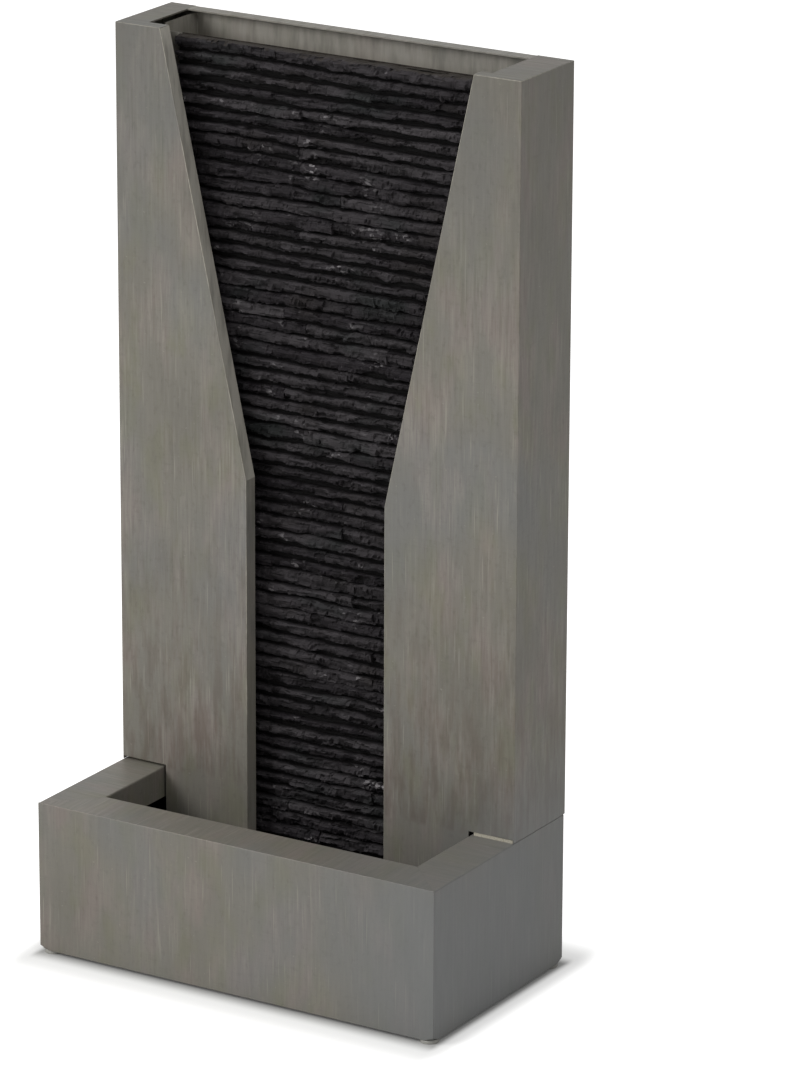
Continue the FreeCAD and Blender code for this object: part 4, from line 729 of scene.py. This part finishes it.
def new_tree(name, sizes):
    """A geometry tree with named inputs for its sizes; gives the tree and its inputs."""
    tree = bpy.data.node_groups.new(name, "GeometryNodeTree")
    for label, value in sizes.items():
        kind = "NodeSocketInt" if isinstance(value, int) else "NodeSocketFloat"
        kind = "NodeSocketMaterial" if isinstance(value, bpy.types.Material) else kind
        tree.interface.new_socket(label, in_out="INPUT", socket_type=kind)
    tree.interface.new_socket("Geometry", in_out="OUTPUT", socket_type="NodeSocketGeometry")
    return tree, dict(zip(sizes, map(Number, add(tree, "NodeGroupInput").outputs)))


def grown(name, tree, sizes):
    """The plain mesh object that a geometry tree makes from its sizes, with its faces outwards."""
    source = bpy.data.objects.new(name + "_seed", bpy.data.meshes.new(name + "_seed"))
    bpy.context.scene.collection.objects.link(source)
    modifier = source.modifiers.new("made", "NODES")
    modifier.node_group = tree
    for item in tree.interface.items_tree:
        if item.in_out == "INPUT":
            modifier[item.identifier] = sizes[item.name]
    bpy.context.view_layer.update()
    evaluated = source.evaluated_get(bpy.context.evaluated_depsgraph_get())
    made = bpy.data.meshes.new_from_object(evaluated)
    source.modifiers.remove(modifier)
    bpy.data.objects.remove(source)
    shape = bmesh.new()
    shape.from_mesh(made)
    bmesh.ops.recalc_face_normals(shape, faces=shape.faces)
    shape.to_mesh(made)
    shape.free()
    piece = bpy.data.objects.new(name, made)
    bpy.context.scene.collection.objects.link(piece)
    return piece


def uneven(tree, spot, detail=2.0, roughness=0.5):
    """How far something is out of true at a spot, by chance from -0.5 to 0.5."""
    inputs = {"Vector": spot, "Scale": 1.0, "Detail": detail, "Roughness": roughness}
    return Number(add(tree, "ShaderNodeTexNoise", {}, inputs).outputs[0]) - 0.5


def facets(tree, spot, set_off, tilt):
    """Flat broken faces, each set off and tilted by chance."""
    spot = add(tree, "ShaderNodeCombineXYZ", {}, dict(enumerate(spot))).outputs[0]
    cells = add(tree, "ShaderNodeTexVoronoi", {}, {"Vector": spot, "Scale": 1.0}).outputs
    chance, inside = (
        add(tree, "ShaderNodeVectorMath", {"operation": "SUBTRACT"}, {0: whole, 1: less}).outputs[0]
        for whole, less in ((cells["Color"], (0.5, 0.5, 0.5)), (spot, cells["Position"]))
    )
    slope = add(tree, "ShaderNodeVectorMath", {"operation": "DOT_PRODUCT"}, {0: chance, 1: inside}).outputs[1]
    level = add(tree, "ShaderNodeSeparateXYZ", {}, {0: chance}).outputs[1]
    return Number(level) * set_off + Number(slope) * tilt


def slate_tree(sizes):
    """Courses of stones: a bar of ten points round its section, repeated, then split by noise."""
    tree, given = new_tree("slate_courses", sizes)
    bottom, web, proud, slab_front = (given[name] for name in ("Bottom", "Web", "Proud", "Slab front"))
    seed, rows, first_row, in_course = (given[name] for name in ("Seed", "Rows", "First row", "Stones"))
    store = {"data_type": "FLOAT", "domain": "POINT"}
    one_number = {"data_type": "FLOAT"}
    number = Number(add(tree, "GeometryNodeInputIndex").outputs[0])
    pitch = given["Height"] / given["Courses"]

    # Where each stone lies: a point at its middle, with its course, its number and its length.
    whole = number + first_row * in_course
    course = ((whole + 0.5) / in_course).maths("FLOOR")
    stone = whole - course * in_course
    ends = []
    for step in (0, 1):
        joint = stone + step
        inside = joint.maths("GREATER_THAN", 0.5) * joint.maths("LESS_THAN", in_course - 0.5)
        pick = {2: -STONE_SHIFT, 3: STONE_SHIFT, 7: course * 10.0 + joint, 8: seed}
        shift = Number(add(tree, "FunctionNodeRandomValue", one_number, pick).outputs[1])
        ends.append((joint + shift * inside) * (given["Width"] / in_course))
    middle = (ends[0] + ends[1]) * 0.5 - given["Width"] * 0.5
    length = ends[1] - ends[0] - given["Joint"]
    points = {"Count": rows * in_course, "Offset": (0, 0, 0)}
    points = add(tree, "GeometryNodeMeshLine", {"mode": "OFFSET"}, points).outputs[0]
    for label, value in (("course", course), ("stone", whole), ("length", length)):
        kept = {"Geometry": points, "Name": label, "Value": value}
        points = add(tree, "GeometryNodeStoreNamedAttribute", store, kept).outputs[0]
    spot = (middle, slab_front, bottom + (course + 0.5) * pitch)
    points = add(tree, "GeometryNodeSetPosition", {}, {"Geometry": points, "Position": spot}).outputs[0]

    # The bar: round in front, undercut below, with two points behind in the slab.
    bar = {"Vertices": SLATE_POINTS, "Side Segments": SLATE_RINGS - 1, "Radius": 1.0, "Depth": 1.0}
    bar = add(tree, "GeometryNodeMeshCylinder", {"fill_type": "NGON"}, bar).outputs[0]
    ring = ((number + 0.5) / SLATE_POINTS).maths("FLOOR")
    corner = number - ring * SLATE_POINTS
    turn = (corner / (SLATE_POINTS - 3) - 0.5) * math.pi
    ahead = corner.maths("LESS_THAN", SLATE_POINTS - 2.5)
    behind = corner.maths("GREATER_THAN", SLATE_POINTS - 2.5)
    low = corner.maths("GREATER_THAN", SLATE_POINTS - 1.5)
    bulge = turn.maths("COSINE").maths("MAXIMUM", 0.0).maths("POWER", 0.22)
    rise = turn.maths("SINE")
    rise = rise.maths("SIGN") * rise.maths("ABSOLUTE").maths("POWER", 0.75)
    undercut = rise.maths("MINIMUM", 0.0) * given["Undercut"] + 1.0
    depth = bulge * undercut * (proud * -1.0) * ahead + behind * (web * 0.25)
    rise = rise * ahead + behind * (low * -2.0 + 1.0)
    spot = (ring / (SLATE_RINGS - 1) - 0.5, depth, rise * ((pitch - given["Gap"]) * 0.5))
    bar = add(tree, "GeometryNodeSetPosition", {}, {"Geometry": bar, "Position": spot}).outputs[0]
    course, stone, length = (
        Number(add(tree, "GeometryNodeInputNamedAttribute", one_number, {"Name": label}).outputs[0])
        for label in ("course", "stone", "length")
    )
    stones = {"Points": points, "Instance": bar, "Scale": (length, 1.0, 1.0)}
    stones = add(tree, "GeometryNodeInstanceOnPoints", {}, stones).outputs[0]
    stones = add(tree, "GeometryNodeRealizeInstances", {}, {"Geometry": stones}).outputs[0]

    # How it is split: each course wanders and swells, and its front is stepped, broken and pitted.
    # A pattern's numbers are its marks to the metre, and own sets each stone's apart.
    bed, step, tone = (
        Number(add(tree, "FunctionNodeRandomValue", one_number, pick).outputs[1])
        for pick in (
            {2: -BED_SPREAD, 3: BED_SPREAD, 7: course, 8: seed + 3},
            {2: -1.0, 3: 1.0, 7: stone, 8: seed},
            {2: 0.0, 3: 1.0, 7: stone, 8: seed + 1},
        )
    )
    place = add(tree, "GeometryNodeInputPosition").outputs[0]
    x, y, z = map(Number, add(tree, "ShaderNodeSeparateXYZ", {}, {0: place}).outputs)
    own = stone * 7.31
    out = slab_front - y
    front = (out / CLEFT_FRONT).within(0.0, 1.0)
    level = bottom + (course + 0.5) * pitch
    drift = uneven(tree, (x * 9.0, course * 0.23, 3.7)) * given["Wander"]
    thick = bed + 1.0 + uneven(tree, (x * 26.0, course * 3.1, own)) * 1.1
    edge = uneven(tree, (x * 105.0, z * 90.0, own), 3.0, 0.55) * RAGGED_EDGE
    up = level + drift + (z - level) * thick + edge * front
    swell = uneven(tree, (x * 30.0, up * 60.0, own)) * SWELL
    broken = facets(tree, (x * 42.0, own, up * 260.0), *BROKEN)
    chips = facets(tree, (x * 120.0, own, up * 480.0), *CHIPPED)
    pits = (uneven(tree, (x * 24.0, own, up * 30.0), 1.0) - 0.06).maths("MAXIMUM", 0.0) * -PITTED
    pits = pits * (uneven(tree, (x * 300.0, own, up * 420.0)) + 0.5)
    moved = step * STONE_STEP + swell + (broken + chips + pits)
    out = out + front * moved
    # Painted shade: the less a point stands out from the slab, the darker it is painted.
    fall = {"Value": out / proud, "From Min": RECESS_SHADE_FROM, "From Max": 1.0, "To Min": 1.0, "To Max": 0.0}
    deep = add(tree, "ShaderNodeMapRange", {}, fall).outputs[0]
    for label, value in (("deep", deep), ("tone", tone)):
        kept = {"Geometry": stones, "Name": label, "Value": value}
        stones = add(tree, "GeometryNodeStoreNamedAttribute", store, kept).outputs[0]
    back = (slab_front - out).within(given["Face"], given["Back"])
    spot = (x, back, up.within(bottom, bottom + given["Height"]))
    stones = add(tree, "GeometryNodeSetPosition", {}, {"Geometry": stones, "Position": spot}).outputs[0]

    # The slab behind the stones, with a rough crest.
    tall = rows * pitch
    slab = {"Size": (given["Width"], web, tall), "Vertices X": 120, "Vertices Y": 5}
    slab = add(tree, "GeometryNodeMeshCube", {}, slab).outputs[0]
    centre = (0.0, slab_front + web * 0.5, bottom + first_row * pitch + tall * 0.5)
    slab = add(tree, "GeometryNodeTransform", {}, {"Geometry": slab, "Translation": centre}).outputs[0]
    crest = z.maths("GREATER_THAN", bottom + (given["Height"] - 1 * MM))
    crest = crest * y.maths("LESS_THAN", given["Back"] - 0.5 * MM)
    sunk = uneven(tree, (x * 120.0, y * 120.0, 0.5), 3.0).maths("MAXIMUM", -0.3) + 0.3
    offset = (0.0, 0.0, sunk * (crest * -CREST_SUNK))
    slab = add(tree, "GeometryNodeSetPosition", {}, {"Geometry": slab, "Offset": offset}).outputs[0]
    # Painted shade: the slab is painted fully dark.
    kept = {"Geometry": slab, "Name": "deep", "Value": 1.0}
    slab = add(tree, "GeometryNodeStoreNamedAttribute", store, kept).outputs[0]

    joined = add(tree, "GeometryNodeJoinGeometry")
    for part in (slab, stones):
        tree.links.new(part, joined.inputs[0])
    wall = add(tree, "GeometryNodeRealizeInstances", {}, {"Geometry": joined.outputs[0]}).outputs[0]
    wall = add(tree, "GeometryNodeSetMaterial", {}, {"Geometry": wall, "Material": given["Material"]})
    add(tree, "NodeGroupOutput", {}, {0: wall.outputs[0]})
    return tree


low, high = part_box(SLATE_NODE)
slate_material = split_slate()
for half, first, rows in (("lower", 0, SLATE_LOWER), ("upper", SLATE_LOWER, SLATE_COURSES - SLATE_LOWER)):
    slate_sizes = {
        "Width": high.x - low.x,
        "Height": high.z - low.z,
        "Bottom": low.z,
        "Face": low.y,
        "Back": high.y,
        "Slab front": high.y - SLATE_WEB,
        "Web": SLATE_WEB,
        "Proud": SLATE_PROUD,
        "Courses": SLATE_COURSES,
        "First row": first,
        "Rows": rows,
        "Stones": SLATE_STONES,
        "Gap": SLATE_GAP,
        "Undercut": SLATE_UNDERCUT,
        "Joint": SLATE_JOINT,
        "Wander": SLATE_WANDER,
        "Seed": SLATE_SEED,
        "Material": slate_material,
    }
    piece = grown("slate_courses_" + half, slate_tree(slate_sizes), slate_sizes)
    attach(piece, "tower")
    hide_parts(SLATE_NODE)


# Board: a grey fibre-cement board glued to the slate's back, which carries the courses and takes
# the four screws.

# Fibre cement, pressed: pale grey, chalky, with short darker fibres.
fibre_cement = speckled("pressed_fibre_cement", "#7d7c78", "#6a6965", 0.88, 1.6 * MM, 0.15 * MM)
placed(moulded("slate_board", 0.4 * MM), "slate_board", "tower", fibre_cement)


# Brackets: two channels of galvanised sheet between the board and the back panel, one near the
# top, which carries the trough, and one low down.

CRYSTAL = 9 * MM
CRYSTAL_RAGGED = 3 * MM


def galvanised_sheet():
    """Hot-dip galvanised sheet: pale bluish grey with the crystals of the zinc, some 9 mm across,
    each of which throws the light back a little differently."""
    material, tree = new_finish("hot_dip_galvanised")
    place = add(tree, "ShaderNodeTexCoord").outputs["Object"]
    ragged = add(tree, "ShaderNodeTexNoise", {}, {"Vector": place, "Scale": 1 / (4 * MM), "Detail": 2.0})
    shift = {0: ragged.outputs["Color"], 1: (CRYSTAL_RAGGED,) * 3, 2: place}
    shift = add(tree, "ShaderNodeVectorMath", {"operation": "MULTIPLY_ADD"}, shift).outputs[0]
    crystals = add(tree, "ShaderNodeTexVoronoi", {}, {"Vector": shift, "Scale": 1 / CRYSTAL}).outputs["Color"]
    pale, dull, _ = add(tree, "ShaderNodeSeparateColor", {}, {0: crystals}).outputs
    coated(tree, {
        "Base Color": layered(tree, "#8f9396", [("#787d81", pale)]),
        "Metallic": 0.85,
        "Roughness": share_of(tree, (dull, 0.0, 1.0, 0.30, 0.46)),
    })
    return material


galvanised = galvanised_sheet()
for node in ("slate_bracket_upper", "slate_bracket_lower"):
    placed(folded_sheet(node, "x"), node, "tower", galvanised)


# Rivets and screws: four blind rivets through the back panel into the brackets, four pan-head
# screws through the brackets into the board. Both are plain zinc-plated steel.

FASTENER_ACROSS = 220 * MM
FASTENER_UP = 640 * MM
FASTENER_LOW = 216 * MM
FASTENER_SIDES = 24
FASTENER_SMOOTH = math.radians(40)
RIVET = ((0, 125), (1.1, 124.97), (2.2, 124.8), (3.0, 124.5), (3.45, 124.2), (3.5, 124), (1.6, 124),
         (1.6, 121), (3.4, 121), (3.5, 120.8), (3.1, 120.2), (2.2, 120), (1.0, 120), (0, 120.3))
SCREW = ((0, 65.5), (1.2, 65.5), (1.6, 66.2), (1.6, 71), (3.4, 71), (3.5, 71.2), (3.45, 71.8), (3.1, 72.5),
         (2.4, 72.9), (1.5, 73), (1.4, 72.6), (0.9, 71.6), (0, 71.5))


def turned_tree(profile, sizes):
    """Four equal turned parts on a grid; the profile is a row of radii and of places along Y."""
    tree, given = new_tree("turned_fasteners", sizes)
    sheet = add(tree, "GeometryNodeMeshGrid", {}, {2: len(profile), 3: given["Sides"]}).outputs[0]
    number = Number(add(tree, "GeometryNodeInputIndex").outputs[0])
    row = (number / given["Sides"]).maths("FLOOR")
    turn = (number - row * given["Sides"]) / (given["Sides"] - 1) * math.tau
    curves = []
    for values in zip(*profile):
        chosen = add(tree, "GeometryNodeIndexSwitch", {"data_type": "FLOAT"}, {0: row})
        for _ in values[2:]:
            chosen.index_switch_items.new()
        for at, value in enumerate(values):
            chosen.inputs[at + 1].default_value = value
        curves.append(Number(chosen.outputs[0]))
    radius, along = curves
    spot = (radius * turn.maths("COSINE"), along, radius * turn.maths("SINE"))
    part = add(tree, "GeometryNodeSetPosition", {}, {"Geometry": sheet, "Position": spot}).outputs[0]
    part = add(tree, "GeometryNodeMergeByDistance", {}, {"Geometry": part, "Distance": 0.02 * MM}).outputs[0]

    points = {0: given["Across"], 1: given["Up"], 2: 2, 3: 2}
    points = add(tree, "GeometryNodeMeshGrid", {}, points).outputs[0]
    middle = (0.0, 0.0, given["Middle"])
    upright = {"Geometry": points, "Rotation": (math.pi / 2, 0, 0), "Translation": middle}
    points = add(tree, "GeometryNodeTransform", {}, upright).outputs[0]
    parts = add(tree, "GeometryNodeInstanceOnPoints", {}, {"Points": points, "Instance": part}).outputs[0]
    parts = add(tree, "GeometryNodeRealizeInstances", {}, {"Geometry": parts}).outputs[0]
    parts = add(tree, "GeometryNodeSetMaterial", {}, {"Geometry": parts, "Material": given["Material"]})
    add(tree, "NodeGroupOutput", {}, {0: parts.outputs[0]})
    return tree


# Zinc-plated steel: bright, slightly milky, with fine turning marks.
plated_steel = speckled("zinc_plated_steel", "#a8aaab", "#8b8e90", 0.30, 0.4 * MM, 0.02 * MM, 1.0)
fastener_sizes = {
    "Across": FASTENER_ACROSS,
    "Up": FASTENER_UP,
    "Middle": FASTENER_LOW + FASTENER_UP / 2,
    "Sides": FASTENER_SIDES + 1,
    "Material": plated_steel,
}
for node, profile in (("bracket_rivets", RIVET), ("slate_screws", SCREW)):
    profile = [(radius * MM, along * MM) for radius, along in profile]
    piece = grown(node + "_turned", turned_tree(profile, fastener_sizes), fastener_sizes)
    shape = bmesh.new()
    shape.from_mesh(piece.data)
    for face in shape.faces:
        face.smooth = True
    for edge in shape.edges:
        edge.smooth = len(edge.link_faces) < 2 or edge.calc_face_angle(0) < FASTENER_SMOOTH
    shape.to_mesh(piece.data)
    shape.free()
    placed(piece, node, "tower", plated_steel)


# Trough: a long open trough of the same sheet as the casings, in which the water wells up until it
# runs over the lower front lip onto the slate. Its inlet is screwed through the bottom with a seal
# and a nut.

TROUGH_PAINTED_LIGHT = 0.37

# Painted light: the trough's upright faces are made paler, as if more light fell on them.
piece = folded_sheet("spill_trough", "y")
bright = piece.data.attributes.new("bright", "FLOAT", "FACE")
for face in piece.data.polygons:
    if abs(face.normal.z) < 0.5:
        bright.data[face.index].value = TROUGH_PAINTED_LIGHT
placed(piece, "spill_trough", "tower", zinc)

# Injection-moulded black polypropylene: half dull, even.
black_fitting = speckled("moulded_polypropylene", "#1d1d1e", "#282829", 0.42, 0.8 * MM, 0.04 * MM)
for node in ("trough_inlet", "trough_nut"):
    placed(moulded(node, 0.5 * MM), node, "tower", black_fitting)
placed(moulded("trough_seal", 0.3 * MM), "trough_seal", "tower", black_rubber)


# Hose: a straight black hose from the pump's nozzle up to the inlet, pushed on at the foot, held
# at the top by a steel clamp and halfway by a clip on the panel.

# Soft polyvinyl chloride hose, extruded: smooth and slightly shiny.
hose_plastic = speckled("extruded_hose", "#161617", "#202021", 0.34, 1.0 * MM, 0.03 * MM)
placed(moulded("riser_hose", 0.4 * MM), "riser_hose", "tower", hose_plastic)
placed(moulded("hose_clamp", 0.15 * MM), "hose_clamp", "tower", plated_steel)
placed(moulded("hose_clip", 0.4 * MM), "hose_clip", "tower", black_fitting)


# Pump: a small canned pump that lies on the tub's bottom on four suction cups: the motor, the
# volute with its nozzle, and the gland for the cable.

# Acrylonitrile butadiene styrene, injection-moulded: dark grey, eroded mould finish.
pump_plastic = speckled("eroded_abs", "#26282b", "#313336", 0.50, 0.7 * MM, 0.06 * MM)
for node in ("pump_motor", "pump_volute"):
    placed(moulded(node, 0.8 * MM, 3), node, "basin", pump_plastic)
for node in ("pump_nozzle", "pump_gland"):
    placed(moulded(node, 0.4 * MM), node, "basin", black_fitting)
for end in ("front_left", "rear_left", "front_right", "rear_right"):
    node = "suction_cup_" + end
    placed(moulded(node, 0.4 * MM), node, "basin", black_rubber)

# Ceramic shaft, ground: ivory, fine and a little shiny. It stands still in two rubber bushes.
ceramic = speckled("ground_ceramic", "#d9d6cc", "#cfcbbf", 0.28, 0.4 * MM, 0.01 * MM)
placed(moulded("pump_shaft", 0.2 * MM), "pump_shaft", "basin", ceramic)
for node in ("pump_bush_front", "pump_bush_rear"):
    placed(moulded(node, 0.3 * MM), node, "basin", black_rubber)


# Rotor: a ferrite magnet moulded onto the sleeve of the plastic impeller. Both turn together on the
# shaft.

# Sintered ferrite: dark grey, dull, with fine pores.
ferrite = speckled("sintered_ferrite", "#3a3a3c", "#2b2b2d", 0.55, 0.5 * MM, 0.05 * MM)
# Glass-filled polyamide: pale grey with a faint flow pattern.
impeller_plastic = speckled("glass_filled_polyamide", "#b9bbb7", "#a7a9a5", 0.45, 0.6 * MM, 0.03 * MM)
placed(moulded("rotor_magnet", 0.4 * MM), "rotor_magnet", "rotor", ferrite)
placed(moulded("impeller", 0.25 * MM), "impeller", "rotor", impeller_plastic)


# Strainer: a slotted cover over the pump's intake with a sponge in it, pulled off for cleaning. A
# dial on its end turns a shutter, which sets the flow.

# Open-cell sponge: blue-black, soft and full of holes.
sponge = speckled("open_cell_sponge", "#23262a", "#0c0d0e", 0.9, 1.3 * MM, 0.6 * MM)
placed(moulded("pump_strainer", 0.5 * MM), "pump_strainer", "strainer", pump_plastic)
placed(moulded("pump_sponge", 1.0 * MM), "pump_sponge", "strainer", sponge)
placed(moulded("flow_dial", 0.4 * MM), "flow_dial", "dial", pump_plastic)
placed(moulded("flow_shutter", 0.25 * MM), "flow_shutter", "dial", pump_plastic)
